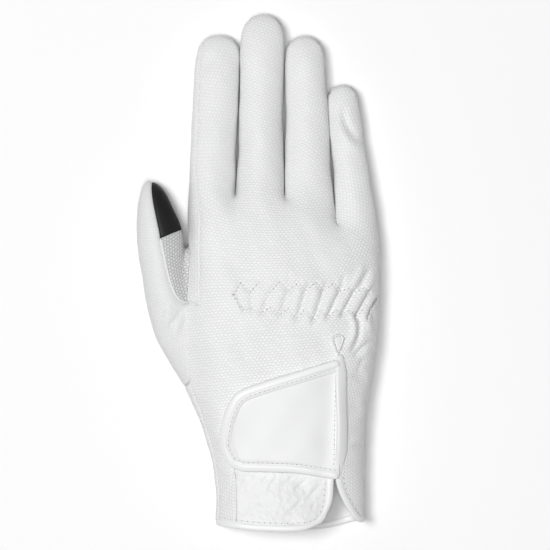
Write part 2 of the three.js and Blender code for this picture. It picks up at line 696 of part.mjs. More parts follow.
// Splits a loop of corners into triangles: a square along its shorter diagonal, any other about its middle.
function addLoop(positions, triangles, loop) {
  if (loop.length === 4) {
    const [a, b, c, d] = loop;
    const shortFirst = positions[a].distanceTo(positions[c]) <= positions[b].distanceTo(positions[d]);
    triangles.push(...(shortFirst ? [a, b, c, a, c, d] : [b, c, d, b, d, a]));
    return;
  }
  const middle = new THREE.Vector3();
  loop.forEach((i) => middle.addScaledVector(positions[i], 1 / loop.length));
  const centre = positions.push(middle) - 1;
  loop.forEach((i, k) => triangles.push(i, loop[(k + 1) % loop.length], centre));
}

function geometryOf(positions, triangles) {
  const geometry = new THREE.BufferGeometry();
  const flat = positions.flatMap((p) => [p.x, p.y, p.z]);
  geometry.setAttribute("position", new THREE.Float32BufferAttribute(flat, 3));
  geometry.setIndex(triangles);
  geometry.computeVertexNormals();
  return geometry;
}

// Height of the back's outer side at a place, taken beside the slit where there is none.
function heightAt(mesh, x, y) {
  let height = -1;
  for (const { corners } of mesh.faces) {
    for (let k = 2; k < corners.length; k++) {
      const [a, b, c] = [corners[0], corners[k - 1], corners[k]].map((i) => mesh.points[i]);
      const area = (b.x - a.x) * (c.y - a.y) - (c.x - a.x) * (b.y - a.y);
      if (Math.abs(area) < 1e-9) continue;
      const v = ((x - a.x) * (c.y - a.y) - (c.x - a.x) * (y - a.y)) / area;
      const w = ((b.x - a.x) * (y - a.y) - (x - a.x) * (b.y - a.y)) / area;
      if (v >= 0 && w >= 0 && v + w <= 1) height = Math.max(height, a.z + v * (b.z - a.z) + w * (c.z - a.z));
    }
  }
  return height;
}

function backHeight(mesh, x, y) {
  const here = heightAt(mesh, x, y);
  if (here > HAND_HEIGHT * 0.5) return here;
  return Math.max(heightAt(mesh, x - 2 * SLIT_HALF_GAP, y), heightAt(mesh, x + 2 * SLIT_HALF_GAP, y));
}

// A sheet over a grid of places: each row of the grid runs the same way, and the sheet has the given thickness.
function sheetSolid(grid, thickness) {
  const [rows, columns] = [grid.length, grid[0].length];
  const lower = grid.flat();
  const positions = [...lower, ...lower.map((p) => p.clone().setZ(p.z + thickness))];
  const at = (j, k, side) => side * lower.length + j * columns + k;
  const triangles = [];
  for (let j = 0; j + 1 < rows; j++) {
    for (let k = 0; k + 1 < columns; k++) {
      addLoop(positions, triangles, [at(j, k, 1), at(j, k + 1, 1), at(j + 1, k + 1, 1), at(j + 1, k, 1)]);
      addLoop(positions, triangles, [at(j, k, 0), at(j + 1, k, 0), at(j + 1, k + 1, 0), at(j, k + 1, 0)]);
    }
  }
  const rim = [
    ...Array.from({ length: columns - 1 }, (_, k) => [0, k]),
    ...Array.from({ length: rows - 1 }, (_, j) => [j, columns - 1]),
    ...Array.from({ length: columns - 1 }, (_, k) => [rows - 1, columns - 1 - k]),
    ...Array.from({ length: rows - 1 }, (_, j) => [rows - 1 - j, 0]),
  ];
  rim.forEach(([j, k], i) => {
    const [m, n] = rim[(i + 1) % rim.length];
    addLoop(positions, triangles, [at(j, k, 0), at(m, n, 0), at(m, n, 1), at(j, k, 1)]);
  });
  return geometryOf(positions, triangles);
}

// A roll along a path: each station has a centre, the way out from the edge that it binds, and the way up.
// It is pressed flat where it would reach below the surface that the glove lies on.
function rollSolid(stations, halfWidth, halfThickness) {
  const sides = 6;
  const positions = [];
  const rings = stations.map(({ centre, out, up }) =>
    Array.from({ length: sides }, (_, k) => {
      const turn = ((k + 0.5) * 2 * Math.PI) / sides;
      const [c, s] = [Math.cos(turn), Math.sin(turn)].map((t) => Math.sign(t) * Math.abs(t) ** 0.8);
      const p = centre.clone().addScaledVector(out, c * halfWidth).addScaledVector(up, s * halfThickness);
      p.z = Math.max(0, p.z);
      return positions.push(p) - 1;
    }),
  );
  const triangles = [];
  for (let j = 0; j + 1 < rings.length; j++) {
    for (let k = 0; k < sides; k++) {
      const next = (k + 1) % sides;
      addLoop(positions, triangles, [rings[j][k], rings[j][next], rings[j + 1][next], rings[j + 1][k]]);
    }
  }
  addLoop(positions, triangles, [...rings[0]].reverse());
  addLoop(positions, triangles, rings[rings.length - 1]);
  return geometryOf(positions, triangles);
}

// The open edge of the skin, from the slit's end down the right flap, round the hem and up the left flap.
function openEdge(mesh, normals) {
  const rim = [...edgesOf(mesh).values()].filter((edge) => edge.faces.length === 1);
  const near = new Map();
  const outward = new Map();
  rim.forEach(({ a, b, faces: [f] }) => {
    near.set(a, [...(near.get(a) ?? []), b]);
    near.set(b, [...(near.get(b) ?? []), a]);
    const away = centreOf(mesh, [a, b]).sub(centreOf(mesh, mesh.faces[f].corners));
    for (const i of [a, b]) outward.set(i, (outward.get(i) ?? new THREE.Vector3()).clone().add(away));
  });
  const slitEnd = [...near.keys()].reduce((best, i) => (mesh.points[i].y > mesh.points[best].y ? i : best));
  const [first, second] = near.get(slitEnd);
  const chain = [slitEnd, mesh.points[first].x > mesh.points[second].x ? first : second];
  while (chain.length < near.size) {
    const [a, b] = chain.slice(-2);
    chain.push(near.get(b).find((i) => i !== a));
  }
  return chain.map((i) => ({
    point: mesh.points[i],
    up: normals[i],
    out: outward.get(i).projectOnPlane(normals[i]).normalize(),
  }));
}

// Walks along stations from one distance to another, counted from the first, dropping the parts beyond.
function trimmed(stations, from, to) {
  const kept = [];
  let distance = 0;
  stations.forEach((station, i) => {
    if (i > 0) {
      const last = stations[i - 1];
      const length = station.point.distanceTo(last.point);
      for (const stop of [from, to]) {
        if (distance < stop && stop < distance + length) {
          const t = (stop - distance) / length;
          const blend = (name) => last[name].clone().lerp(station[name], t);
          kept.push({ point: blend("point"), up: blend("up").normalize(), out: blend("out").normalize() });
        }
      }
      distance += length;
    }
    if (distance >= from && distance <= to) kept.push(station);
  });
  return kept;
}

// The roll that binds the open edge, except at the slit's end, where the two flaps come together.
function hemRoll(mesh, normals) {
  const edge = openEdge(mesh, normals);
  const whole = edge.reduce((sum, s, i) => (i ? sum + s.point.distanceTo(edge[i - 1].point) : 0), 0);
  const stations = trimmed(edge, ROLL_START, whole - ROLL_END).map(({ point, up, out }) => ({
    centre: point
      .clone()
      .addScaledVector(out, (HEM_ROLL + SEAM_GAP) / 2)
      .addScaledVector(up, -LEATHER / 2),
    out,
    up,
  }));
  return rollSolid(stations.reverse(), HEM_ROLL / 2, LEATHER * ROLL_PUFF);
}

// Both edges of the tab, moved inwards by a distance: the upper and the lower one, round end first.
function tabEdges(inset) {
  const corner = new THREE.Vector2(TAB_CORNER.x * HAND_WIDTH, TAB_CORNER.y * HAND_LENGTH);
  const place = (row, side) =>
    new THREE.Vector2(corner.x - (1 - row.at) * TAB_LENGTH, corner.y + row[side] * TAB_HEIGHT);
  const loop = [
    ...[...TAB_EDGE].reverse().map((row) => place(row, "lower")),
    ...TAB_EDGE.map((row) => place(row, "upper")),
  ];
  const moved = loop.map((p, i) => {
    const before = loop[Math.max(0, i - 1)];
    const after = loop[Math.min(loop.length - 1, i + 1)];
    const along = after.clone().sub(before).normalize();
    return { x: p.x + along.y * inset, y: p.y - along.x * inset, outX: -along.y, outY: along.x };
  });
  const half = TAB_EDGE.length;
  return { lower: moved.slice(0, half).reverse(), upper: moved.slice(half), loop: moved };
}

// Height of the tab's underside: close to the back at the round end, higher over the slit and over the hook pad.
function tabHeight(mesh, x, y, fromEdge) {
  const right = TAB_CORNER.x * HAND_WIDTH;
  const edge = mix(TAB_CLEARANCE.end, TAB_CLEARANCE.slit, ease((x - right + TAB_LENGTH) / TAB_LENGTH));
  return backHeight(mesh, x, y) + mix(edge, TAB_CLEARANCE.middle, ease(fromEdge / 6));
}

function tabSheet(mesh) {
  const { upper, lower } = tabEdges(TAB_BINDING + SEAM_GAP);
  const grid = [];
  for (let j = 0; j <= TAB_CUTS; j++) {
    const t = j / TAB_CUTS;
    grid.push(
      lower.map((low, k) => {
        const x = mix(low.x, upper[k].x, t);
        const y = mix(low.y, upper[k].y, t);
        const span = Math.hypot(upper[k].x - low.x, upper[k].y - low.y);
        return new THREE.Vector3(x, y, tabHeight(mesh, x, y, Math.min(t, 1 - t) * span));
      }),
    );
  }
  return sheetSolid(grid, TAB_THICKNESS);
}

function tabRoll(mesh) {
  const { loop } = tabEdges(TAB_BINDING / 2);
  const stations = loop.map(({ x, y, outX, outY }) => {
    const out = new THREE.Vector3(outX, outY, 0);
    const height = (s) => tabHeight(mesh, x + (s * outX * TAB_BINDING) / 2, y + (s * outY * TAB_BINDING) / 2, 0);
    out.z = (height(1) - height(-1)) / TAB_BINDING;
    out.normalize();
    const centre = new THREE.Vector3(x, y, (height(1) + height(-1)) / 2 + TAB_THICKNESS * 0.6);
    const up = new THREE.Vector3(0, 0, 1).projectOnPlane(out).normalize();
    return { centre, out, up };
  });
  return rollSolid(stations, TAB_BINDING / 2, TAB_THICKNESS * 0.6);
}

function hookPad(mesh) {
  const right = TAB_CORNER.x * HAND_WIDTH;
  const grid = [];
  for (let j = 0; j <= 6; j++) {
    const y = TAB_CORNER.y * HAND_LENGTH + mix(PAD.lower, PAD.upper, j / 6) * TAB_HEIGHT;
    const row = Array.from({ length: 7 }, (_, k) => right - (1 - mix(PAD.left, PAD.right, k / 6)) * TAB_LENGTH);
    grid.push(row.map((x) => new THREE.Vector3(x, y, backHeight(mesh, x, y) + SEAM_GAP)));
  }
  return sheetSolid(grid, PAD.thickness);
}

function slitStay(mesh) {
  const grid = STAY_EDGE.map(({ along, half }) => {
    const y = STAY.y * HAND_LENGTH + along * STAY.length;
    const row = [-1, -0.5, 0, 0.5, 1].map((side) => STAY.x * HAND_WIDTH + side * half * STAY.width);
    return row.map((x) => new THREE.Vector3(x, y, backHeight(mesh, x, y) + SEAM_GAP));
  });
  return sheetSolid(grid, STAY.thickness);
}

const cage = newMesh();
const hand = buildHand(cage);
buildFingers(cage, hand);
buildThumb(cage, hand);
const smooth = settle(subdivide(cage));
const within = (value, [from, to]) => value >= from && value < to;
const pleated = ({ piece, row, column }) =>
  piece === "back_panel" && within(row, PLEAT_ROWS) && within(column, PLEAT_COLUMNS);
const skin = refine(smooth, pleated, PLEAT_CUTS);
const skinNormals = normalsOf(skin);
gather(skin, skinNormals);

const glove = new THREE.Group();
const white = new THREE.MeshStandardMaterial({ color: 0xf0f1f2, roughness: 0.6, metalness: 0 });
const black = new THREE.MeshStandardMaterial({ color: 0x0d0d0e, roughness: 0.8, metalness: 0 });
const grey = new THREE.MeshStandardMaterial({ color: 0xd8d9da, roughness: 0.9, metalness: 0 });

function addPiece(name, geometry, material) {
  const mesh = new THREE.Mesh(geometry, material);
  mesh.name = name;
  glove.add(mesh);
}

for (const piece of new Set(skin.faces.map((face) => face.piece))) {
  const material = piece === "thumb_touch_patch" ? black : white;
  addPiece(piece, panelSolid(skin, skinNormals, piece), material);
}
addPiece("cuff_binding", hemRoll(skin, skinNormals), white);
addPiece("closure_tab", tabSheet(skin), white);
addPiece("tab_binding", tabRoll(skin), white);
addPiece("fastener_pad", hookPad(skin), grey);
addPiece("slit_stay", slitStay(skin), white);

const box = new THREE.Box3().setFromObject(glove);
const middle = box.getCenter(new THREE.Vector3());
glove.position.set(-middle.x, -middle.y, -box.min.z);

export default glove;
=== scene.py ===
import math
import random

import bmesh
import bpy
import numpy as np
from mathutils import Matrix, Vector
from mathutils.bvhtree import BVHTree
from mathutils.kdtree import KDTree


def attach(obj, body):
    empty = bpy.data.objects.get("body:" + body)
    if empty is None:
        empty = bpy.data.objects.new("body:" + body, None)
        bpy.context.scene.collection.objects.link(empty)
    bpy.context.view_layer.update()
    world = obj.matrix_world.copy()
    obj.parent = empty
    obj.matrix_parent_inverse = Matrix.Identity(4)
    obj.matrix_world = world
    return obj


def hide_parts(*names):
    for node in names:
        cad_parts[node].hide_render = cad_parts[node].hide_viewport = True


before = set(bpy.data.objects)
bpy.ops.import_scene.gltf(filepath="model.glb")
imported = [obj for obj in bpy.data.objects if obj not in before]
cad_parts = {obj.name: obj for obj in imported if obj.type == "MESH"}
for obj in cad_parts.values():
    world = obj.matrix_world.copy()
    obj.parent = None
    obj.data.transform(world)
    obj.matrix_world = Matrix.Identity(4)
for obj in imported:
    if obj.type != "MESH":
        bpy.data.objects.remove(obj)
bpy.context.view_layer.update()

# The studio: a camera far above the middle of the glove, so that it is seen flat from its back as in a catalogue,
# a wide soft light beside the camera, a weak one at the foot, and pale light all round.
CAMERA_PLACE = (0.00754, -0.00137, 3.012)
camera = bpy.data.objects.new("camera", bpy.data.cameras.new("camera"))
camera.location = CAMERA_PLACE
camera.data.lens = 429.7
camera.data.sensor_width = 36.0
camera.data.clip_end = 20.0
bpy.context.scene.collection.objects.link(camera)
bpy.context.scene.camera = camera

for name, place, size, power in (
    ("key_light", (-0.85, 0.15, 2.75), 0.9, 46.0),
    ("front_light", (0.0, -0.35, 3.4), 1.2, 41.0),
):
    lamp = bpy.data.objects.new(name, bpy.data.lights.new(name, "AREA"))
    lamp.data.shape = "DISK"
    lamp.data.size = size
    lamp.data.energy = power
    lamp.location = place
    lamp.rotation_euler = (-Vector(place)).to_track_quat("-Z", "Y").to_euler()
    bpy.context.scene.collection.objects.link(lamp)

world = bpy.data.worlds.new("studio")
world.use_nodes = True
world.node_tree.nodes["Background"].inputs["Color"].default_value = (1.0, 1.0, 1.0, 1.0)
world.node_tree.nodes["Background"].inputs["Strength"].default_value = 0.12
bpy.context.scene.world = world
bpy.context.scene.view_settings.view_transform = "Standard"

# The table under it: a smooth pale sheet that runs out of the picture, just below the glove. It isn't part of the
# glove and only carries its shadow.
TABLE_HALF_WIDTH, TABLE_DROP = 2.5, 0.0002


def mesh_of(shape, name):
    """The mesh that a finished bmesh leaves behind."""
    mesh = bpy.data.meshes.new(name)
    shape.to_mesh(mesh)
    shape.free()
    return mesh


sheet = bmesh.new()
bmesh.ops.create_grid(
    sheet, x_segments=8, y_segments=8, size=TABLE_HALF_WIDTH, matrix=Matrix.Translation((0, 0, -TABLE_DROP))
)
table_mesh = mesh_of(sheet, "table")
table = bpy.data.objects.new("table", table_mesh)
bpy.context.scene.collection.objects.link(table)
table_paint = bpy.data.materials.new("pale_table")
table_paint.use_nodes = True
table_paint.node_tree.nodes["Principled BSDF"].inputs["Base Color"].default_value = (0.975, 0.975, 0.975, 1.0)
table_paint.node_tree.nodes["Principled BSDF"].inputs["Roughness"].default_value = 0.9
table_mesh.materials.append(table_paint)

# The form of the filled glove, the surface that every leather panel is cut from. It is drawn as a coarse cage in
# millimetres, a ring of places for each row of the hand, each knuckle of a finger and each bend of the thumb, and
# is rounded by subdivision. The cuff end is open and the wrist is slit.
HAND_LENGTH, HAND_WIDTH, WRIST_WIDTH, HAND_HEIGHT, THUMB_HEIGHT = 150.0, 88.0, 67.0, 25.0, 20.0
FORM_CENTRE = Vector((13.638, -118.536, 0.0))  # from the hand's own middle to the middle of the glove's box
LEATHER = 1.2

PANELS = [
    "back_panel", "palm_panel", "cuff_panel", "index_side_panel", "fourchette_index_middle",
    "fourchette_middle_ring", "fourchette_ring_little", "thumb_back", "thumb_front", "thumb_touch_patch",
]  # fmt: skip

# thumb side, middle and little side as shares of the length, spread from wrist to hand width, shift of the middle,
# inset of the side seam, height, and the side seam's share of the height.
HAND_ROWS = [
    (0.034, 0.018, 0.048, 0.02, 0.006, 0.005, 0.95, 0.55),
    (0.09, 0.085, 0.1, 0.03, 0.008, 0.008, 0.92, 0.55),
    (0.15, 0.148, 0.155, 0.04, 0.006, 0.01, 0.9, 0.55),
    (0.245, 0.245, 0.245, 0.18, -0.009, 0.015, 0.93, 0.55),
    (0.346, 0.346, 0.346, 0.54, -0.034, 0.025, 0.97, 0.58),
    (0.437, 0.44, 0.44, 0.94, -0.06, 0.045, 1.01, 0.64),
    (0.559, 0.567, 0.56, 0.96, -0.039, 0.01, 1.04, 0.72),
    (0.69, 0.64, 0.64, 1.0, -0.029, 0.0, 1.03, 0.7),
    (0.868, 0.757, 0.76, 1.02, -0.023, 0.0, 1.01, 0.56),
    (0.934, 0.879, 0.843, 0.99, -0.026, 0.0, 0.97, 0.56),
    (0.99, 1.0, 0.9, 0.95, -0.029, 0.0, 0.88, 0.56),
]
# share of the width at the wrist and at the knuckles, share of the height, reach of the forks.
BACK_COLUMNS = [
    (0.055, 0.055, 0.83, 0.99),
    (0.12, 0.145, 0.97, 1.0),
    (0.27, 0.247, 1.02, 1.004),
    (0.43, 0.378, 1.04, 1.0),
    (0.59, 0.509, 1.04, 1.004),
    (0.72, 0.645, 1.03, 0.965),
    (0.836, 0.782, 0.97, 0.921),
    (0.915, 0.89, 0.88, 0.903),
    (0.975, 0.97, 0.74, 0.9),
]
SLIT_COLUMN = 6
# how far the V's left and right flap draw back as shares of the wrist's width, and their heights.
SLIT_OPENING = [(-0.135, 0.15, 1.0, 0.74), (-0.066, 0.062, 1.0, 0.92), (-0.085, -0.008, 1.0, 1.0)]
# above the V, the same under the tab in millimetres: left flap, right flap, rise of the right flap.
SLIT_GAPS = [(2.9, 1.2, 2.4), (2.9, 1.2, 2.4), (0.0, 0.3, 1.4)]
SIDE_UP = (0.52, 0.24)

# length, width at base and tip, height and lean of each finger, thumb side first.
FINGERS = [
    (76.5, 20.8, 19.9, 16.5, 3.2),
    (85.0, 20.4, 19.2, 17.0, 1.8),
    (81.0, 22.0, 17.6, 16.5, -3.2),
    (66.5, 18.2, 13.6, 15.0, -7.4),
]
# share of the length, width, height, lift of the underside, and how far it has gone from base to tip width.
FINGER_SECTIONS = [
    (0.13, 1.0, 1.14, 0.0, 0.1),
    (0.45, 0.98, 1.0, 0.05, 0.5),
    (0.86, 1.04, 0.88, 0.04, 1.0),
    (0.985, 0.88, 0.62, 0.1, 1.0),
]
FINGER_END, FINGER_END_UPPER, FINGER_END_LOWER = 1.03, 0.56, 0.32
FINGER_RING = [
    (-0.5, 0.85), (0.0, 1.08), (0.5, 0.85), (0.51, 0.58), (0.51, 0.3),
    (0.44, 0.0), (0.0, 0.0), (-0.44, 0.0), (-0.51, 0.3), (-0.51, 0.58),
]  # fmt: skip

# inner, seam and outer places of the thumb's rings as shares of width and length, low and high of its height.
THUMB_RINGS = [
    {"inner": (-0.535, 0.866), "seam": (-0.578, 0.682), "outer": (-0.668, 0.54), "low": 0.0, "high": 0.98},
    {"inner": (-0.537, 0.885), "seam": (-0.632, 0.778), "outer": (-0.758, 0.7), "low": 0.0, "high": 1.02},
    {"inner": (-0.541, 0.912), "seam": (-0.674, 0.9), "outer": (-0.79, 0.865), "low": 0.02, "high": 1.02},
    {"inner": (-0.6, 0.985), "seam": (-0.7, 0.975), "outer": (-0.79, 0.965), "low": 0.05, "high": 0.94},
    {"inner": (-0.652, 1.048), "seam": (-0.72, 1.045), "outer": (-0.772, 1.04), "low": 0.15, "high": 0.76},
]
THUMB_TIP = (-0.722, 1.082, 0.46, 0.012)
THUMB_RING = [
    ("outer", 0.1, 0.82), ("outer", 0.5, 1.03), ("seam", 0.0, 1.06), ("inner", 0.04, 0.84), ("inner", 0.0, 0.45),
    ("inner", 0.04, 0.04), ("seam", 0.0, 0.0), ("outer", 0.5, 0.0), ("outer", 0.12, 0.02), ("outer", 0.0, 0.42),
]  # fmt: skip


def ease(t):
    t = min(1.0, max(0.0, t))
    return t * t * (3 - 2 * t)


def mix(a, b, t):
    return a + (b - a) * t


def hand_ring(r):
    """A row's places: nine over the back, two down the little side, nine under the palm, two up the thumb side."""
    thumb_side, middle, little_side, spread, shift, inset, high, seam_up = HAND_ROWS[r]
    width = mix(WRIST_WIDTH, HAND_WIDTH, spread)
    left = shift * HAND_WIDTH - width / 2
    height = high * HAND_HEIGHT
    along = ease((middle - 0.25) / 0.75)
    top, sole = [], []
    for c, (wrist, knuckle, up, reach) in enumerate(BACK_COLUMNS):
        share = mix(wrist, knuckle, along)
        y = mix(thumb_side, middle, ease(share / 0.3))
        y = mix(y, little_side, ease((share - 0.7) / 0.3))
        if r == 10:
            y = reach
        x = left + share * width + inset * HAND_WIDTH * (1 - ease(share / 0.3))
        sink = 0.9 if r == 10 and c in (2, 4, 6) else 1.0
        top.append(Vector((x, y * HAND_LENGTH, up * height * sink)))
        inside = min(0.95, max(0.05, (x - left) / width))
        sole.append(Vector((left + inside * width, y * HAND_LENGTH, 0.0)))
    side = [Vector((left + width, little_side * HAND_LENGTH, up * height)) for up in SIDE_UP]
    seam = Vector((left + inset * HAND_WIDTH, thumb_side * HAND_LENGTH, seam_up * height))
    low = Vector((left, thumb_side * HAND_LENGTH, seam_up * height * SIDE_UP[1] / SIDE_UP[0]))
    return top + side + sole[::-1] + [low, seam]


def open_slit(r, ring):
    """Moves a row's slit point to the left flap and returns the right flap's, making room beside the V."""
    point = ring[SLIT_COLUMN]
    right = point.copy()
    if r >= len(SLIT_OPENING):
        go_left, go_right, rise = SLIT_GAPS[r - len(SLIT_OPENING)]
        point.x -= go_left
        right.x += go_right
        right.z += rise
        ring[7].z += 0.4 * rise
        return right
    go_left, go_right, left_up, right_up = SLIT_OPENING[r]
    right.x += go_right * WRIST_WIDTH
    right.z *= right_up
    point.x += go_left * WRIST_WIDTH
    point.z *= left_up
    ring[5].x += 0.75 * go_left * WRIST_WIDTH
    ring[4].x += 0.35 * go_left * WRIST_WIDTH
    if go_right >= 0.05:
        for c in (7, 8):
            t = (c - SLIT_COLUMN) / 3
            ring[c].x = mix(right.x, ring[9].x, math.sqrt(t))
            ring[c].z = mix(right.z, ring[9].z, t)
    return right


def hand_panel(r, c):
    if c <= 9:
        return "cuff_panel" if c < SLIT_COLUMN and 1 <= c and r < 3 else "back_panel"
    if c < 19:
        return "palm_panel"
    if c == 21:
        return "index_side_panel" if r >= 7 else "back_panel"
    if 5 <= r < 8:
        return None
    return "index_side_panel" if r >= 8 else "palm_panel"


def grow(form, ring, places, panels):
    """Draws a ring of the form on to new places, and gives each new face to its panel. Returns the new ring."""
    edges = [form.edges.get((a, b)) for a, b in zip(ring, ring[1:] + ring[:1])]
    made = bmesh.ops.extrude_edge_only(form, edges=edges)["geom"]
    made = {g for g in made if isinstance(g, bmesh.types.BMVert)}
    above = [next(e.other_vert(v) for e in v.link_edges if e.other_vert(v) in made) for v in ring]
    for v, place in zip(above, places):
        v.co = place
    for k, panel in enumerate(panels):
        n = (k + 1) % len(ring)
        face = form.faces.get((ring[k], ring[n], above[n], above[k]))
        face.material_index = PANELS.index(panel) if panel else len(PANELS)
    return above


def cap(form, upper, lower, rails, panels):
    """Closes a finger between its upper and lower chain of points. Returns the new points."""
    chains = [form.edges.get((a, b)) for chain in (upper, lower) for a, b in zip(chain, chain[1:])]
    faces = bmesh.ops.grid_fill(form, edges=chains, mat_nr=0)["faces"]
    for face in faces:
        face.material_index = PANELS.index(next(p for v, p in panels if v in face.verts))
    return [v for v in {v for f in faces for v in f.verts} if v not in upper + lower + rails]


form = bmesh.new()
rings = []
slit_places = []
for r in range(len(HAND_ROWS)):
    places = hand_ring(r)
    if r < SLIT_COLUMN:
        slit_places.append((places[SLIT_COLUMN], open_slit(r, places)))
    if r == 0:
        first = bmesh.ops.create_circle(form, segments=22, radius=1.0)["verts"]
        for v, place in zip(first, places):
            v.co = place
        rings.append(list(first))
    else:
        rings.append(grow(form, rings[-1], places, [hand_panel(r - 1, c) for c in range(22)]))
hole = [f for f in form.faces if f.material_index == len(PANELS)]
bmesh.ops.delete(form, geom=hole, context="FACES")

knuckles = rings[10]
forks = {}
for c in (2, 4, 6):
    top, sole = knuckles[c], knuckles[19 - c]
    forks[c] = []
    for up in SIDE_UP:
        drawn = bmesh.ops.extrude_vert_indiv(form, verts=[forks[c][-1] if forks[c] else top])["verts"][0]
        drawn.co = (top.co.x, top.co.y, up * top.co.z / 0.9)
        forks[c].append(drawn)
    bmesh.ops.contextual_create(form, geom=[forks[c][-1], sole])

for i, (length, base_width, tip_width, height, lean) in enumerate(FINGERS):
    c = 2 * i
    right = forks.get(c + 2, knuckles[9:11])
    left = forks.get(c, [knuckles[21], knuckles[20]])
    ring = knuckles[c : c + 3] + right + [knuckles[17 - c], knuckles[18 - c], knuckles[19 - c], left[1], left[0]]
    start = Vector(((right[0].co.x + left[0].co.x) / 2, (ring[0].co.y + ring[2].co.y) / 2, 0.0))
    left_panel = "index_side_panel" if i == 0 else PANELS[3 + i]
    right_panels = ["back_panel", "palm_panel"] if i == 3 else [PANELS[4 + i]] * 2
    last_panel = left_panel if i == 0 else "back_panel"
    panels = ["back_panel"] * 3 + right_panels + ["palm_panel"] * 2 + [left_panel] * 2 + [last_panel]
    for at, wide, high, lift, tipward in FINGER_SECTIONS:
        centre = start + Vector((lean * at, length * at, lift * height))
        width = wide * mix(base_width, tip_width, tipward)
        tilt = lean / length
        places = [
            centre + Vector((across * width, -across * width * tilt, up * high * height)) for across, up in FINGER_RING
        ]
        ring = grow(form, ring, places, panels)
    tip = cap(form, ring[0:3], ring[5:8], ring, [(ring[1], "back_panel")] + [(v, "palm_panel") for v in ring])
    tip.sort(key=lambda v: -v.co.z)
    for v, up in zip(tip, (FINGER_END_UPPER, FINGER_END_LOWER)):
        v.co = start + Vector((lean * FINGER_END, length * FINGER_END, up * height))

ring = [rings[r][21] for r in (5, 6, 7, 8)] + [rings[8][20]] + [rings[r][19] for r in (8, 7, 6, 5)] + [rings[5][20]]
for k, bend in enumerate(THUMB_RINGS):
    front = "thumb_touch_patch" if k > 2 else "thumb_front"
    places = []
    for side, blend, up in THUMB_RING:
        x = mix(bend[side][0], bend["seam"][0], blend) * HAND_WIDTH
        y = mix(bend[side][1], bend["seam"][1], blend) * HAND_LENGTH
        places.append(Vector((x, y, mix(bend["low"], bend["high"], up) * THUMB_HEIGHT)))
    ring = grow(form, ring, places, ["thumb_back"] * 2 + [front] * 4 + ["thumb_back"] * 4)
thumb_end = [(ring[4], "thumb_touch_patch")] + [(v, "thumb_back") for v in ring]
tip = cap(form, ring[0:4], ring[5:9], ring, thumb_end)
tip.sort(key=lambda v: v.co.x)
for v, side in zip(tip, (-1, 1)):
    across = THUMB_TIP[0] + side * THUMB_TIP[3]
    v.co = (across * HAND_WIDTH, THUMB_TIP[1] * HAND_LENGTH, THUMB_TIP[2] * THUMB_HEIGHT)

slit = [form.edges.get((rings[r][SLIT_COLUMN], rings[r + 1][SLIT_COLUMN])) for r in range(SLIT_COLUMN)]
bmesh.ops.split_edges(form, edges=slit)
beyond_slit = {rings[r][SLIT_COLUMN + 1] for r in range(SLIT_COLUMN + 1)}
for on_left, on_right in slit_places:
    for v in [v for v in form.verts if (v.co - on_left).length < 1e-4]:
        if any(w in beyond_slit for f in v.link_faces for w in f.verts):
            v.co = on_right
bmesh.ops.recalc_face_normals(form, faces=form.faces)
highest = max(form.faces, key=lambda f: f.calc_center_median().z)
if highest.normal.z < 0:
    bmesh.ops.reverse_faces(form, faces=form.faces)
bmesh.ops.translate(form, verts=form.verts, vec=FORM_CENTRE)
form_mesh = mesh_of(form, "form")


def rounded(mesh, levels):
    """A copy of the mesh after smooth subdivision on to its limit surface."""
    holder = bpy.data.objects.new("holder", mesh)
    bpy.context.scene.collection.objects.link(holder)
    rounding = holder.modifiers.new("rounding", "SUBSURF")
    rounding.levels = rounding.render_levels = levels
    rounding.use_limit_surface = True
    depsgraph = bpy.context.evaluated_depsgraph_get()
    copy = bpy.data.meshes.new_from_object(
        holder.evaluated_get(depsgraph), preserve_all_data_layers=True, depsgraph=depsgraph
    )
    bpy.data.objects.remove(holder)
    return copy


# Laying the panels flat gives the embossed leather its direction: the pattern's rows run across the hand and are
# measured in millimetres of leather.
skin_mesh = rounded(form_mesh, 2)
flat = bmesh.new()
flat.from_mesh(skin_mesh)
for edge in flat.edges:
    edge.seam = len({f.material_index for f in edge.link_faces}) > 1
flat.to_mesh(skin_mesh)
flat.free()
skin_mesh.uv_layers.new(name="leather_mm")
holder = bpy.data.objects.new("holder", skin_mesh)
bpy.context.scene.collection.objects.link(holder)
bpy.context.view_layer.objects.active = holder
holder.select_set(True)
bpy.ops.object.mode_set(mode="EDIT")
bpy.ops.mesh.select_all(action="SELECT")
bpy.ops.uv.unwrap(method="MINIMUM_STRETCH", margin=0.001, iterations=30)
bpy.ops.object.mode_set(mode="OBJECT")
bpy.data.objects.remove(holder)


def read(collection, name, width, kind=np.float64):
    values = np.empty(len(collection) * width, kind)
    collection.foreach_get(name, values)
    return values.reshape(-1, width) if width > 1 else values


def triangle_area(a, b, c):
    if a.shape[1] == 2:
        u, v = b - a, c - a
        return np.abs(u[:, 0] * v[:, 1] - u[:, 1] * v[:, 0]).sum() / 2
    return np.linalg.norm(np.cross(b - a, c - a), axis=1).sum() / 2


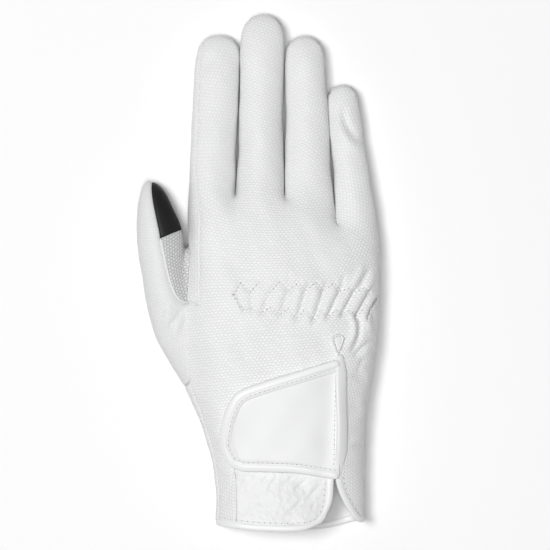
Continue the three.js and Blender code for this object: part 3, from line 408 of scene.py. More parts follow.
places = read(skin_mesh.vertices, "co", 3)
corners = read(skin_mesh.loops, "vertex_index", 1, np.int32).reshape(-1, 4)
face_panel = read(skin_mesh.polygons, "material_index", 1, np.int32)
uv_layer = skin_mesh.uv_layers["leather_mm"]
uv = read(uv_layer.data, "uv", 2).reshape(-1, 4, 2)
for panel in range(len(PANELS)):
    chosen = face_panel == panel
    flat_uv, solid = uv[chosen], places[corners[chosen]]
    spread = triangle_area(flat_uv[:, 0], flat_uv[:, 1], flat_uv[:, 2])
    scale = math.sqrt(triangle_area(solid[:, 0], solid[:, 1], solid[:, 2]) / spread)
    points = flat_uv.reshape(-1, 2)
    upward = solid.reshape(-1, 3)[:, 1]
    terms = np.column_stack([points, np.ones(len(points))])
    gu, gv, _ = np.linalg.lstsq(terms, upward, rcond=None)[0]
    turn = np.array([[gv, -gu], [gu, gv]]) / math.hypot(gu, gv)
    uv[chosen] = ((points - points.mean(0)) @ turn.T * scale).reshape(-1, 4, 2)
uv_layer.data.foreach_set("uv", uv.astype(np.float32).ravel())

# The skin: the form again at the fineness of the finished leather, with all that the sewing does to it. The
# gathers over the knuckles, the pinched seams, the creases of wear and the wrinkles of the cuff are pressed into
# it here, each from a line of places in millimetres seen from above.
skin_mesh = rounded(skin_mesh, 2)
GATHER_VALLEYS = [
    (-11.2, -9.6, -7.1, -17.8, 0.2),
    (-3.7, -9.1, -3.0, -18.3, 0.4),
    (5.3, -9.1, 1.1, -18.7, 0.6),
    (13.5, -8.7, 9.8, -19.7, 0.85),
    (21.5, -8.5, 17.6, -21.0, 1.3),
    (29.5, -9.1, 25.4, -21.9, 1.6),
    (37.2, -9.0, 31.8, -20.1, 1.8),
    (43.9, -9.4, 38.3, -19.2, 2.0),
    (50.5, -10.1, 45.0, -20.1, 1.9),
    (54.2, -12.8, 50.0, -21.0, 1.3),
]  # top x and y, bottom x and y, depth
ZIGZAG_TOP = [
    (-11.2, -10.5), (-8.0, -4.8), (-3.7, -9.1), (0.2, -4.8), (5.3, -9.1), (9.6, -4.6), (13.5, -8.7), (18.1, -5.0),
    (21.5, -8.5), (26.2, -4.6), (29.5, -9.1), (34.4, -4.8), (37.2, -9.0), (41.8, -7.1), (43.9, -9.4), (48.4, -7.1),
    (50.5, -10.1), (53.7, -7.3),
]  # fmt: skip
ZIGZAG_BOTTOM = [
    (-7.1, -17.8), (-2.2, -16.0), (1.1, -18.7), (5.3, -16.0), (9.8, -19.7), (13.5, -16.5), (17.6, -21.0),
    (21.5, -16.5), (25.4, -21.9), (28.6, -16.9), (31.8, -20.1), (35.4, -17.4), (38.3, -19.2), (41.4, -17.4),
    (45.0, -20.1), (47.8, -16.9), (50.0, -21.0),
]  # fmt: skip
ZIGZAG_DEPTH, ZIGZAG_HALF_WIDTH = 0.55, 0.75
# height (below 0 a crease), half width, line.
FOLDS = [
    (1.2, 1.6, [(41.2, -17.8), (43.5, -22.9), (43.2, -28.7), (40.4, -34.2)]),
    (-1.0, 1.3, [(45.2, -18.6), (46.2, -24.0), (45.6, -30.0), (42.4, -36.6)]),
    (1.1, 1.6, [(47.8, -16.5), (49.6, -21.9), (51.0, -27.0)]),
    (-0.6, 1.0, [(52.5, -17.5), (53.4, -24.0)]),
    (-1.1, 0.9, [(53.4, -31.4), (49.6, -32.9), (46.4, -35.6), (43.6, -38.6)]),
    (0.9, 1.4, [(50.8, -35.0), (47.2, -39.4)]),
    (-0.5, 1.3, [(45.0, -44.8), (49.8, -49.6)]),
    (0.45, 1.5, [(47.0, -43.5), (51.0, -47.5)]),
    (-0.45, 1.3, [(51.6, -58.0), (47.0, -61.5), (44.0, -62.5)]),
    (-0.7, 0.9, [(47.6, -49.4), (45.2, -48.0), (43.0, -46.6)]),
    (0.6, 2.4, [(47.4, -57.0), (47.0, -62.0), (45.4, -68.5)]),
    (-0.7, 1.0, [(48.4, -78.6), (45.6, -79.6), (43.0, -79.0)]),
    (0.5, 1.8, [(47.6, -74.6), (44.4, -75.8), (42.2, -75.2)]),
    (0.4, 1.6, [(47.2, -83.8), (43.8, -84.4), (41.6, -83.0)]),
    (-0.8, 0.8, [(55.0, -8.0), (51.0, -11.4)]),
    (-0.5, 1.2, [(51.2, -34.5), (47.6, -40.2), (45.6, -45.0)]),
    (0.9, 1.5, [(47.7, 2.9), (45.5, -1.6), (43.0, -6.0)]),
    (-0.9, 1.1, [(50.8, 1.2), (48.2, -3.4), (46.0, -7.6)]),
    (0.8, 1.6, [(53.2, -0.2), (51.0, -5.0), (49.3, -8.9)]),
    (-0.5, 1.0, [(39.4, -1.0), (38.4, -4.2), (37.0, -7.4)]),
    (-0.35, 1.0, [(14.0, -0.5), (13.6, -4.5), (13.2, -8.0)]),
    (-1.3, 2.0, [(39.0, 75.4), (39.3, 69.6), (41.6, 64.9), (44.5, 61.5), (49.0, 59.4)]),
    (0.6, 2.6, [(36.6, 72.0), (37.4, 66.5), (40.0, 61.5), (43.5, 57.8), (46.8, 55.0)]),
    (-0.4, 2.4, [(-29.0, 90.0), (-24.5, 94.5), (-19.5, 100.0)]),
    (-0.5, 0.9, [(-35.0, -17.6), (-38.6, -22.3), (-40.6, -25.6), (-41.0, -30.0)]),
    (0.35, 1.2, [(-34.0, -20.5), (-36.6, -25.0), (-38.4, -30.0)]),
    (0.35, 1.6, [(-40.5, -16.5), (-42.1, -20.7), (-43.1, -24.4)]),
    (-0.4, 1.1, [(-42.1, -13.0), (-43.4, -17.5), (-44.9, -22.3)]),
    (-0.5, 0.9, [(28.2, -97.0), (24.9, -100.7), (21.3, -104.8)]),
    (-0.55, 1.1, [(19.6, -104.4), (17.2, -107.2), (13.9, -110.1)]),
    (-0.3, 0.8, [(25.7, -104.8), (24.1, -108.9)]),
    (-0.4, 1.0, [(22.5, -93.8), (19.6, -96.6), (16.4, -99.9)]),
    (-0.4, 1.0, [(15.5, -93.4), (12.3, -96.6), (9.8, -99.1)]),
    (-0.35, 1.0, [(8.2, -94.6), (5.7, -97.4), (4.1, -100.7)]),
    (-0.4, 0.9, [(-6.1, -92.1), (-7.7, -94.6), (-8.9, -97.0)]),
    (-0.4, 0.9, [(-9.4, -91.3), (-11.4, -94.2), (-12.2, -98.6)]),
    (-0.3, 0.9, [(4.9, -92.1), (3.3, -94.2), (1.7, -96.2)]),
    (0.35, 1.5, [(-9.0, -99.0), (-10.5, -103.0), (-12.5, -107.0)]),
    (-0.3, 1.0, [(-13.4, -96.6), (-13.8, -101.0), (-15.0, -106.0)]),
]


def smooth_line(points, step=0.5):
    """The line through these places, bent smoothly and cut into short equal steps."""
    p = [np.array(q, float) for q in points]
    p = [2 * p[0] - p[1]] + p + [2 * p[-1] - p[-2]]
    fine = []
    for a, b, c, d in zip(p, p[1:], p[2:], p[3:]):
        for t in np.linspace(0, 1, 13)[:-1]:
            bend, twist = 2 * a - 5 * b + 4 * c - d, 3 * b - a - 3 * c + d
            fine.append(0.5 * (2 * b + (c - a) * t + bend * t**2 + twist * t**3))
    return even_line(fine + [p[-2]], step)


def even_line(points, step):
    points = np.array(points, float)
    run = np.concatenate([[0], np.cumsum(np.linalg.norm(np.diff(points, axis=0), axis=1))])
    stops = np.linspace(0, run[-1], max(2, round(run[-1] / step) + 1))
    return np.column_stack([np.interp(stops, run, points[:, k]) for k in range(points.shape[1])])


def beside(points, line):
    """Distance of each point from a line seen from above, and how far along it the nearest place is."""
    nearest = np.full(len(points), 1e9)
    along = np.zeros(len(points))
    box = (points[:, 0] > line[:, 0].min() - 8) & (points[:, 0] < line[:, 0].max() + 8)
    box &= (points[:, 1] > line[:, 1].min() - 8) & (points[:, 1] < line[:, 1].max() + 8)
    inside = points[box, :2]
    gap, share = nearest[box], along[box]
    for k, (a, b) in enumerate(zip(line, line[1:])):
        d = b - a
        t = np.clip((inside - a) @ d / (d @ d), 0, 1)
        distance = np.linalg.norm(inside - a - t[:, None] * d, axis=1)
        closer = distance < gap
        gap[closer] = distance[closer]
        share[closer] = (k + t[closer]) / (len(line) - 1)
    nearest[box], along[box] = gap, share
    return nearest, along


def smoothstep(low, high, value):
    t = np.clip((value - low) / (high - low), 0, 1)
    return t * t * (3 - 2 * t)


places = read(skin_mesh.vertices, "co", 3)
normals = read(skin_mesh.vertex_normals, "vector", 3)
facing_up = np.clip(normals[:, 2] * 2.5, 0, 1)
relief = np.zeros(len(places))

valleys = np.array(GATHER_VALLEYS)
x, y = places[:, 0], places[:, 1]
reach = (y[:, None] - valleys[:, 1]) / (valleys[:, 3] - valleys[:, 1])
valley_x = valleys[:, 0] + reach * (valleys[:, 2] - valleys[:, 0])
after = (x[:, None] > valley_x).sum(1)
pair = np.clip(after - 1, 0, len(valleys) - 2)
rows = np.arange(len(places))
share = (x - valley_x[rows, pair]) / (valley_x[rows, pair + 1] - valley_x[rows, pair])
share = np.clip(share, 0, 1) ** 1.25
depth = mix(valleys[pair, 4], valleys[pair + 1, 4], share)
down = mix(reach[rows, pair], reach[rows, pair + 1], share)
window = smoothstep(-0.5, 0.1, down) * (1 - smoothstep(0.88, 1.3, down))
ridge = 1 - np.abs(2 * share - 1) ** 2.4
between = (after >= 1) & (after <= len(valleys) - 1)
relief += np.where(between, depth * (1.12 * ridge - 1.0) * window, 0) * facing_up

for line in (ZIGZAG_TOP, ZIGZAG_BOTTOM):
    gap, _ = beside(places, even_line(line, 1.0))
    relief -= ZIGZAG_DEPTH * np.exp(-((gap / ZIGZAG_HALF_WIDTH) ** 2)) * facing_up
for height, half_width, line in FOLDS:
    gap, along = beside(places, smooth_line(line, 1.5))
    taper = np.sqrt(np.clip(np.sin(math.pi * np.clip(along, 0.0, 1.0)), 0, 1)) * 0.85 + 0.15
    relief += height * np.exp(-((gap / half_width) ** 2)) * taper * np.sqrt(facing_up)

# Wavelength and height of the slow waves that no handled leather is free of.
LEATHER_WAVES = [(46, 0.3), (33, 0.24), (24, 0.16), (17, 0.12), (12, 0.07), (9, 0.05)]
draw = random.Random(7)
for wavelength, size in LEATHER_WAVES:
    for _ in range(3):
        turn, start = draw.uniform(0, math.tau), draw.uniform(0, math.tau)
        wave = np.sin((x * math.cos(turn) + y * math.sin(turn) + 0.6 * places[:, 2]) * math.tau / wavelength + start)
        relief += size * wave / 2

# Seams draw the leather down on both sides of the thread: depth and half width.
SEAM_GROOVES = {
    ("back_panel", "palm_panel"): (0.45, 1.0),
    ("back_panel", "index_side_panel"): (0.3, 1.2),
    ("back_panel", "cuff_panel"): (0.02, 0.8),
    ("index_side_panel", "thumb_front"): (0.6, 1.2),
    ("thumb_back", "thumb_front"): (0.35, 1.0),
    ("thumb_back", "thumb_touch_patch"): (0.35, 0.9),
    ("thumb_front", "thumb_touch_patch"): (0.15, 0.7),
    ("back_panel", "thumb_back"): (0.2, 1.4),
}
OTHER_SEAM = (0.35, 0.9)
face_panel = read(skin_mesh.polygons, "material_index", 1, np.int32)
corners = read(skin_mesh.loops, "vertex_index", 1, np.int32).reshape(-1, 4)
sides = {}
for face, quad in enumerate(corners.tolist()):
    for a, b in zip(quad, quad[1:] + quad[:1]):
        sides.setdefault((min(a, b), max(a, b)), []).append(int(face_panel[face]))
seam_edges = {}
for edge, panels in sides.items():
    if len(panels) == 2 and panels[0] != panels[1]:
        seam_edges.setdefault(tuple(sorted(panels)), []).append(edge)
open_edges = [edge for edge, panels in sides.items() if len(panels) == 1]
for pair, edges in seam_edges.items():
    depth, half_width = SEAM_GROOVES.get((PANELS[pair[0]], PANELS[pair[1]]), OTHER_SEAM)
    on_seam = sorted({v for edge in edges for v in edge})
    tree = KDTree(len(on_seam))
    for v in on_seam:
        tree.insert(places[v], v)
    tree.balance()
    low, high = places[on_seam].min(0) - 4, places[on_seam].max(0) + 4
    near = np.flatnonzero(((places > low) & (places < high)).all(1))
    gap = np.array([tree.find(places[v])[2] for v in near])
    relief[near] -= depth * np.exp(-((gap / half_width) ** 2))

# On the underside the relief fades out towards the table and only goes inwards.
on_table = smoothstep(0.0, 2.5, places[:, 2])
under = np.minimum(relief * on_table, -0.35 * np.abs(relief)) * on_table
relief = np.where(normals[:, 2] < -0.3, under, relief)
smooth_places = places.copy()
places = places + normals * relief[:, None]
places[:, 2] = np.maximum(places[:, 2], 0.0)
skin_mesh.vertices.foreach_set("co", places.astype(np.float32).ravel())
skin_mesh.update()
skin_tree = BVHTree.FromPolygons(places.tolist(), corners.tolist())
form_tree = BVHTree.FromPolygons(smooth_places.tolist(), corners.tolist())
normals = read(skin_mesh.vertex_normals, "vector", 3)


def surface(tree, x, y):
    """Where a needle coming straight down meets a surface, and the surface's normal there."""
    place, normal, _, _ = tree.ray_cast(Vector((x, y, 90.0)), Vector((0, 0, -1)))
    return (place, normal) if place and place.z > 6 else (None, None)


# White synthetic leather, embossed with small staggered pebbles that run in rows across the hand. Each panel is cut
# from the skin with its own wall of leather, and its edges are turned down into the seams.
MILLIMETRE = 0.001
CLOUDS = 24  # size of the faint shading, in millimetres
# A pebble is a flat-topped dome with a narrow valley round it, and the rows wander a little.
PEBBLE_STEEP, PEBBLE_FLATNESS, PEBBLE_DRIFT = (2.15, 2.1), 0.45, 1.1


def leather_material(name, colour, roughness, pebble, relief_mm, grain_mm, shade=0.94):
    """Leather with rows of pebbles (width and height in mm, None for smooth), fine grain and a faint random tone; on
    pebbles, painted shade darkens the valleys and their tops are painted lighter.
    """
    material = bpy.data.materials.new(name)
    material.use_nodes = True
    nodes, links = material.node_tree.nodes, material.node_tree.links
    skin = nodes["Principled BSDF"]
    skin.inputs["Roughness"].default_value = roughness
    skin.inputs["Specular IOR Level"].default_value = 0.4

    def noise(scale, detail, where):
        made = nodes.new("ShaderNodeTexNoise")
        made.inputs["Scale"].default_value = scale
        made.inputs["Detail"].default_value = detail
        links.new(where, made.inputs["Vector"])
        return made.outputs["Fac"]

    def worked(operation, *terms):
        made = nodes.new("ShaderNodeMath")
        made.operation = operation
        for socket, term in zip(made.inputs, terms):
            if isinstance(term, float):
                socket.default_value = term
            else:
                links.new(term, socket)
        return made.outputs[0]

    where = nodes.new("ShaderNodeTexCoord").outputs["Object"]
    grain = noise(1.0 / (grain_mm * MILLIMETRE), 3.0, where)
    clouds = noise(1.0 / (CLOUDS * MILLIMETRE), 2.0, where)
    tint = nodes.new("ShaderNodeMix")
    tint.data_type = "RGBA"
    tint.inputs["A"].default_value = (*[c * shade for c in colour], 1.0)
    tint.inputs["B"].default_value = (*colour, 1.0)
    height = worked("MULTIPLY", grain, 0.3)
    tone_and_pebble_shade = clouds
    if pebble:
        uv_map = nodes.new("ShaderNodeUVMap")
        uv_map.uv_map = "leather_mm"
        split = nodes.new("ShaderNodeSeparateXYZ")
        links.new(uv_map.outputs["UV"], split.inputs["Vector"])
        wander = noise(0.45, 1.0, uv_map.outputs["UV"])
        drift = worked("MULTIPLY", worked("SUBTRACT", wander, 0.5), PEBBLE_DRIFT)
        across = worked("DIVIDE", worked("ADD", split.outputs["X"], drift), pebble[0])
        up = worked("DIVIDE", worked("ADD", split.outputs["Y"], drift), pebble[1])
        odd_row = worked("MODULO", worked("ABSOLUTE", worked("FLOOR", up)), 2.0)
        across = worked("ADD", across, worked("MULTIPLY", odd_row, 0.5))
        squares = []
        for place, steep in ((across, PEBBLE_STEEP[0]), (up, PEBBLE_STEEP[1])):
            off_middle = worked("ABSOLUTE", worked("SUBTRACT", worked("FRACT", place), 0.5))
            squares.append(worked("POWER", worked("MULTIPLY", off_middle, steep), 2.0))
        dome = worked("MAXIMUM", worked("SUBTRACT", 1.0, worked("ADD", *squares)), 0.0)
        dome = worked("POWER", dome, PEBBLE_FLATNESS)
        size = worked("ADD", 0.55, worked("MULTIPLY", clouds, 0.8))
        height = worked("ADD", height, worked("MULTIPLY", dome, size))
        # Painted shade: the colour darkens from each pebble's top down into the valley round it, and is lightest on
        # the top.
        tone_and_pebble_shade = worked("ADD", 0.15, worked("MULTIPLY", dome, 0.85))
    links.new(tone_and_pebble_shade, tint.inputs["Factor"])
    links.new(tint.outputs["Result"], skin.inputs["Base Color"])
    bump = nodes.new("ShaderNodeBump")
    bump.inputs["Strength"].default_value = 1.0
    bump.inputs["Distance"].default_value = relief_mm * MILLIMETRE
    links.new(height, bump.inputs["Height"])
    links.new(bump.outputs["Normal"], skin.inputs["Normal"])
    return material


embossed = leather_material("embossed_white_leather", (0.878, 0.88, 0.882), 0.5, (1.85, 1.25), 0.15, 0.5, shade=0.9)
pebbled = leather_material("pebbled_white_leather", (0.74, 0.742, 0.744), 0.55, (1.6, 1.25), 0.3, 0.5, shade=0.72)
plain = leather_material("smooth_white_leather", (0.84, 0.842, 0.844), 0.42, None, 0.05, 0.45)
creased = leather_material("creased_white_leather", (0.83, 0.832, 0.834), 0.45, None, 1.7, 2.4)
thumb_leather = leather_material("softly_embossed_leather", (0.81, 0.812, 0.814), 0.5, (1.85, 1.25), 0.09, 0.5)
lining = leather_material("leather_inside", (0.9, 0.9, 0.9), 0.8, None, 0.05, 0.6)
touch = leather_material("black_touch_leather", (0.009, 0.009, 0.01), 0.6, None, 0.08, 0.4, shade=0.7)


def finished(name, mesh, material, slot, *nodes):
    """A piece of the glove made from a mesh in millimetres, riding on the glove in place of its CAD nodes."""
    mesh.transform(Matrix.Scale(MILLIMETRE, 4))
    mesh.materials.clear()
    mesh.materials.append(material)
    mesh.shade_smooth()
    piece = bpy.data.objects.new(name, mesh)
    bpy.context.scene.collection.objects.link(piece)
    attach(piece, "root")
    if nodes:
        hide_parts(*nodes)
    return piece


def thicken(piece, thickness):
    """Gives a sheet its thickness in millimetres, inwards from its outer side."""
    wall = piece.modifiers.new("wall", "SOLIDIFY")
    wall.thickness = thickness * MILLIMETRE
    wall.offset = -1.0
    return wall


def cut_panel(panel, material, slot, edge_sink=0.1):
    """Cuts a panel from the skin, sinks its sewn edges, and gives it the leather's thickness and its plain inside."""
    piece = bmesh.new()
    piece.from_mesh(skin_mesh)
    own = PANELS.index(panel)
    bmesh.ops.delete(piece, geom=[f for f in piece.faces if f.material_index != own], context="FACES")
    for v in piece.verts:
        if v.is_boundary:
            v.co -= v.normal * edge_sink
    for f in piece.faces:
        f.material_index = 0
    mesh = mesh_of(piece, panel + "_leather")
    thicken(finished(panel + "_leather", mesh, material, slot, panel), LEATHER).material_offset = 1
    mesh.materials.append(lining)


for panel in ("back_panel", "palm_panel", "index_side_panel"):
    cut_panel(panel, embossed, "white_leather")

# The fourchettes: the narrow strips between the fingers, cut from the same embossed leather and sewn to the back and
# to the palm.
for panel in ("fourchette_index_middle", "fourchette_middle_ring", "fourchette_ring_little"):
    cut_panel(panel, embossed, "white_leather")

# The thumb: a softly embossed back, a pebbled front, and over its end a patch of black leather for touch screens.
# The three are sewn to one another and to the hand.
cut_panel("thumb_back", thumb_leather, "white_leather")
cut_panel("thumb_front", pebbled, "white_leather")
cut_panel("thumb_touch_patch", touch, "touch_leather", edge_sink=0.05)

# The cuff's left flap: a panel of smooth leather, sewn in under the closing tab and creased where the wrist bends.
# Its free edge is bound.
cut_panel("cuff_panel", creased, "smooth_leather")


# Seam edges: along the index finger, the forks, the thumb and the side of the hand, two sewn edges of leather stand
# up together as a thin rolled ridge.
def chains(edges):
    """Orders loose edges into chains of vertices."""
    near = {}
    for a, b in edges:
        near.setdefault(a, []).append(b)
        near.setdefault(b, []).append(a)
    found, seen = [], set()
    ends = [v for v, n in near.items() if len(n) == 1] + list(near)
    for start in ends:
        if start in seen:
            continue
        chain = [start]
        seen.add(start)
        while True:
            step = [v for v in near[chain[-1]] if v not in seen]
            if not step:
                break
            chain.append(step[0])
            seen.add(step[0])
        if len(chain) > 3:
            found.append(chain)
    return found


def sweep(stations, half_width, half_thickness, sides=8, power=0.8, floor=0.0):
    """A roll along stations of (centre, way out, way up), flattened, with closed rounded ends."""
    roll = bmesh.new()
    ring = list(bmesh.ops.create_circle(roll, segments=sides, radius=1.0)["verts"])
    count = len(stations)
    for i, (centre, out, up) in enumerate(stations):
        if i:
            edges = [roll.edges.get((a, b)) for a, b in zip(ring, ring[1:] + ring[:1])]
            made = bmesh.ops.extrude_edge_only(roll, edges=edges)["geom"]
            made = {g for g in made if isinstance(g, bmesh.types.BMVert)}
            ring = [next(e.other_vert(v) for e in v.link_edges if e.other_vert(v) in made) for v in ring]
        end = min(i, count - 1 - i)
        swell = math.sqrt(1 - (1 - (end + 0.5) / 3) ** 2) if end < 3 else 1.0
        for k, v in enumerate(ring):
            turn = (k + 0.5) * math.tau / sides
            c, s = (math.copysign(abs(t) ** power, t) for t in (math.cos(turn), math.sin(turn)))
            place = centre + out * (c * half_width * swell) + up * (s * half_thickness * swell)
            v.co = (place.x, place.y, max(floor, place.z))
    bmesh.ops.holes_fill(roll, edges=[e for e in roll.edges if e.is_boundary], sides=0)
    bmesh.ops.recalc_face_normals(roll, faces=roll.faces)
    return mesh_of(roll, "roll")


def stations_along(chain, step, sink=0.0):
    """Evenly spaced stations along a chain of skin vertices."""
    line = even_line(np.hstack([places[chain], normals[chain]]), step)
    found = []
    for i, row in enumerate(line):
        along = Vector(line[min(i + 1, len(line) - 1)][:3] - line[max(i - 1, 0)][:3]).normalized()
        up = Vector(row[3:]).normalized()
        out = along.cross(up).normalized()
        found.append((Vector(row[:3]) - up * sink, out, up))
    return found


# name, the two panels, half width, half thickness, how deep it lies.
SEAM_RIDGES = [
    ("index_seam_ridge", "back_panel", "index_side_panel", 0.5, 0.42, -0.12),
    ("thumb_seam_ridge", "thumb_back", "thumb_front", 0.5, 0.4, -0.1),
    ("hand_seam_ridge", "back_panel", "palm_panel", 0.45, 0.36, 0.05),
    ("thumb_root_ridge", "back_panel", "thumb_back", 0.45, 0.34, -0.02),
    ("index_fork_ridge", "back_panel", "fourchette_index_middle", 0.4, 0.34, 0.0),
    ("middle_fork_ridge", "back_panel", "fourchette_middle_ring", 0.4, 0.34, 0.0),
    ("ring_fork_ridge", "back_panel", "fourchette_ring_little", 0.4, 0.34, 0.0),
]
for name, one, other, half_width, half_thickness, sink in SEAM_RIDGES:
    pair = tuple(sorted((PANELS.index(one), PANELS.index(other))))
    found = sorted(chains(seam_edges[pair]), key=len, reverse=True)
    if name == "hand_seam_ridge":
        found = [c for c in found if places[c][:, 0].mean() < -20]
    mesh = sweep(stations_along(found[0], 0.8, sink), half_width, half_thickness)
    finished(name + "_0", mesh, plain, "white_leather")


# Thread: white polyester, sewn through all layers. Each stitch is a short bead of thread between two needle holes,
# whose shade is painted as small grey dots.
def flecked(name, roughness, scale, dark, light):
    """A dull material flecked between two colours."""
    material = bpy.data.materials.new(name)
    material.use_nodes = True
    nodes, links = material.node_tree.nodes, material.node_tree.links
    flecks = nodes.new("ShaderNodeTexNoise")
    flecks.inputs["Scale"].default_value = scale
    links.new(nodes.new("ShaderNodeTexCoord").outputs["Object"], flecks.inputs["Vector"])
    tint = nodes.new("ShaderNodeMix")
    tint.data_type = "RGBA"
    tint.inputs["A"].default_value = (*dark, 1.0)
    tint.inputs["B"].default_value = (*light, 1.0)
    links.new(flecks.outputs["Fac"], tint.inputs["Factor"])
    links.new(tint.outputs["Result"], nodes["Principled BSDF"].inputs["Base Color"])
    nodes["Principled BSDF"].inputs["Roughness"].default_value = roughness
    return material


thread_paint = flecked("white_thread", 0.6, 2500.0, (0.7, 0.7, 0.7), (0.86, 0.86, 0.86))
hole_shade_paint = flecked("painted_needle_hole_shade", 0.9, 900.0, (0.2, 0.2, 0.205), (0.38, 0.38, 0.385))


def bead(target, centre, along, up, half_length, radius, flat):
    """Adds a flattened bead that lies along a stitch."""
    side = along.cross(up).normalized()
    up = side.cross(along).normalized()
    frame_of_bead = Matrix(
        (
            (side.x * radius, up.x * radius * flat, along.x * half_length, centre.x),
            (side.y * radius, up.y * radius * flat, along.y * half_length, centre.y),
            (side.z * radius, up.z * radius * flat, along.z * half_length, centre.z),
            (0, 0, 0, 1),
        )
    )
    bmesh.ops.create_uvsphere(target, u_segments=6, v_segments=4, radius=1.0, matrix=frame_of_bead)


def sew(name, lines, trees, pitch=2.3, length=1.7, radius=0.24, hole=0.3, slot="white_leather"):
    """Sews along lines seen from above, on the highest of the surfaces there."""
    thread, hole_shades = bmesh.new(), bmesh.new()
    for line in lines:
        line = even_line(line, pitch / 2)
        for i in range(len(line) - 1):
            (x, y), way = line[i], line[min(i + 1, len(line) - 1)] - line[max(i - 1, 0)]
            found = [surface(tree, x, y) for tree in trees]
            found = [(p, n) for p, n in found if p]
            if not found:
                continue
            place, up = max(found, key=lambda f: f[0].z)
            along = Vector((way[0], way[1], 0.0)).normalized()
            along = (along - up * along.dot(up)).normalized()
            if i % 2:
                bead(thread, place + up * radius * 0.15, along, up, length / 2, radius, 0.8)
            else:
                # Each needle hole is a small dark bead: its grey is painted shade of the hole.
                bead(hole_shades, place - up * 0.02, along, up, hole, hole, 0.35)
    for part, kind, paint in ((thread, "_thread", thread_paint), (hole_shades, "_painted_needle_hole_shade", hole_shade_paint)):
        finished(name + kind, mesh_of(part, name + kind), paint, slot)


# The gathers' seams: two zigzag rows of thread across the knuckles hold the elastic under them. A short double row
# closes them at the thumb side.
GATHER_ENDS = [[(-11.6, -10.2), (-7.5, -17.9)], [(-10.7, -10.2), (-6.7, -17.6)]]
gather_lines = [np.array(line) for line in (ZIGZAG_TOP, ZIGZAG_BOTTOM, *GATHER_ENDS)]
sew("gather", gather_lines, [skin_tree], pitch=2.1, length=1.5, radius=0.22, hole=0.3)

# Binding: a strip of smooth leather rolled round the hem and both edges of the wrist slit, and sewn along its inside.
# It starts under the stay, where it is wider and stands up beside the tab, and ends under the tab.
ROLL_HALF_WIDTH, ROLL_HALF_THICKNESS, ROLL_STEP = 1.75, 1.15, 0.9
ROLL_START, ROLL_END = 7.2, 22.0
ROLL_TOP = (37.1, -37.0)
FLAP_ROLL_LENGTH, FLAP_ROLL_FOOT, FLAP_ROLL_RISE = 62, -93, 13
FLAP_ROLL_LIFT, FLAP_ROLL_LEAN, FLAP_ROLL_WIDENING = 0.9, 0.1, 1.7
edge_chain = max(chains(open_edges), key=len)
top_of_slit = int(np.argmax(places[edge_chain][:, 1]))
edge_chain = edge_chain[top_of_slit:] + edge_chain[:top_of_slit]
if places[edge_chain[12], 0] < places[edge_chain[-12], 0]:
    edge_chain = edge_chain[:1] + edge_chain[1:][::-1]
face_centres = places[corners].mean(1)
outward = np.zeros_like(places)
face_of = {}
for face, quad in enumerate(corners.tolist()):
    for a, b in zip(quad, quad[1:] + quad[:1]):
        face_of[(min(a, b), max(a, b))] = face
for a, b in open_edges:
    away = (places[a] + places[b]) / 2 - face_centres[face_of[(a, b)]]
    outward[a] += away
    outward[b] += away
rim = np.hstack([smooth_places[edge_chain], normals[edge_chain], outward[edge_chain]])
rim = even_line(rim, ROLL_STEP)
for _ in range(20):
    rim[1:-1] = (rim[:-2] + 2 * rim[1:-1] + rim[2:]) / 4
rim = rim[round(ROLL_START / ROLL_STEP) : len(rim) - round(ROLL_END / ROLL_STEP)]
binding_stations = []
for k, row in enumerate(rim):
    up = Vector(row[3:6]).normalized()
    out = Vector(row[6:9])
    out = (out - up * out.dot(up)).normalized()
    share = ease((row[1] - FLAP_ROLL_FOOT) / FLAP_ROLL_RISE) if k * ROLL_STEP < FLAP_ROLL_LENGTH else 0.0
    centre = Vector(row[:3]) + out * mix(0.72, 0.0, share) + up * (FLAP_ROLL_LIFT * share - 0.5)
    lean = FLAP_ROLL_LEAN * share
    leaning_out = out * math.cos(lean) + up * math.sin(lean)
    leaning_up = up * math.cos(lean) - out * math.sin(lean)
    binding_stations.append((centre, leaning_out * mix(1.0, FLAP_ROLL_WIDENING, share), leaning_up))
first, first_out, first_up = binding_stations[0]
top = surface(skin_tree, *ROLL_TOP)[0]
above = round((first - top).length / ROLL_STEP)
for k in range(above):
    share = (k + 0.5) / above
    centre = top.lerp(first, share)
    binding_stations.insert(k, (centre, first_out * mix(0.55, 1.0, ease(share)), first_up))
binding_paint = leather_material("binding_leather", (0.88, 0.882, 0.884), 0.4, None, 0.06, 0.5)
binding_mesh = sweep(binding_stations, ROLL_HALF_WIDTH, ROLL_HALF_THICKNESS, sides=12, power=0.75)
finished("cuff_binding_roll", binding_mesh, binding_paint, "binding_leather", "cuff_binding")

# The closing tab: two layers of smooth leather with a stitched welt inside their top and round edge, bound all round
# with a rolled strip, and sewn down at the right end.
TAB_LENGTH, TAB_HEIGHT, TAB_THICKNESS, TAB_WALL = 54.2, 53.4, 1.6, 1.3
TAB_RISE = {"end": 0.8, "corner": 0.5, "middle": 1.5}  # how high it lies over the hand
TAB_SLOPE, TAB_EDGE_WIDTH = 34, 6  # length of the slope down to its sewn end, and of the slope to its edge
# share of the length, then upper and lower edge as shares of the height.
TAB_EDGE = [
    (0.002, 0.349, 0.281), (0.015, 0.445, 0.238), (0.036, 0.533, 0.189), (0.075, 0.638, 0.132), (0.13, 0.725, 0.096),
    (0.203, 0.776, 0.072), (0.337, 0.826, 0.07), (0.489, 0.876, 0.065), (0.643, 0.922, 0.058), (0.811, 0.975, 0.033),
    (1.0, 1.032, 0.0),
]  # fmt: skip
tab_corner = Vector((0.258 * HAND_WIDTH, 0.159 * HAND_LENGTH, 0)) + FORM_CENTRE


def on_tab(along, across):
    """A place on the tab from shares of its length and height."""
    return tab_corner.x - (1 - along) * TAB_LENGTH, tab_corner.y + across * TAB_HEIGHT


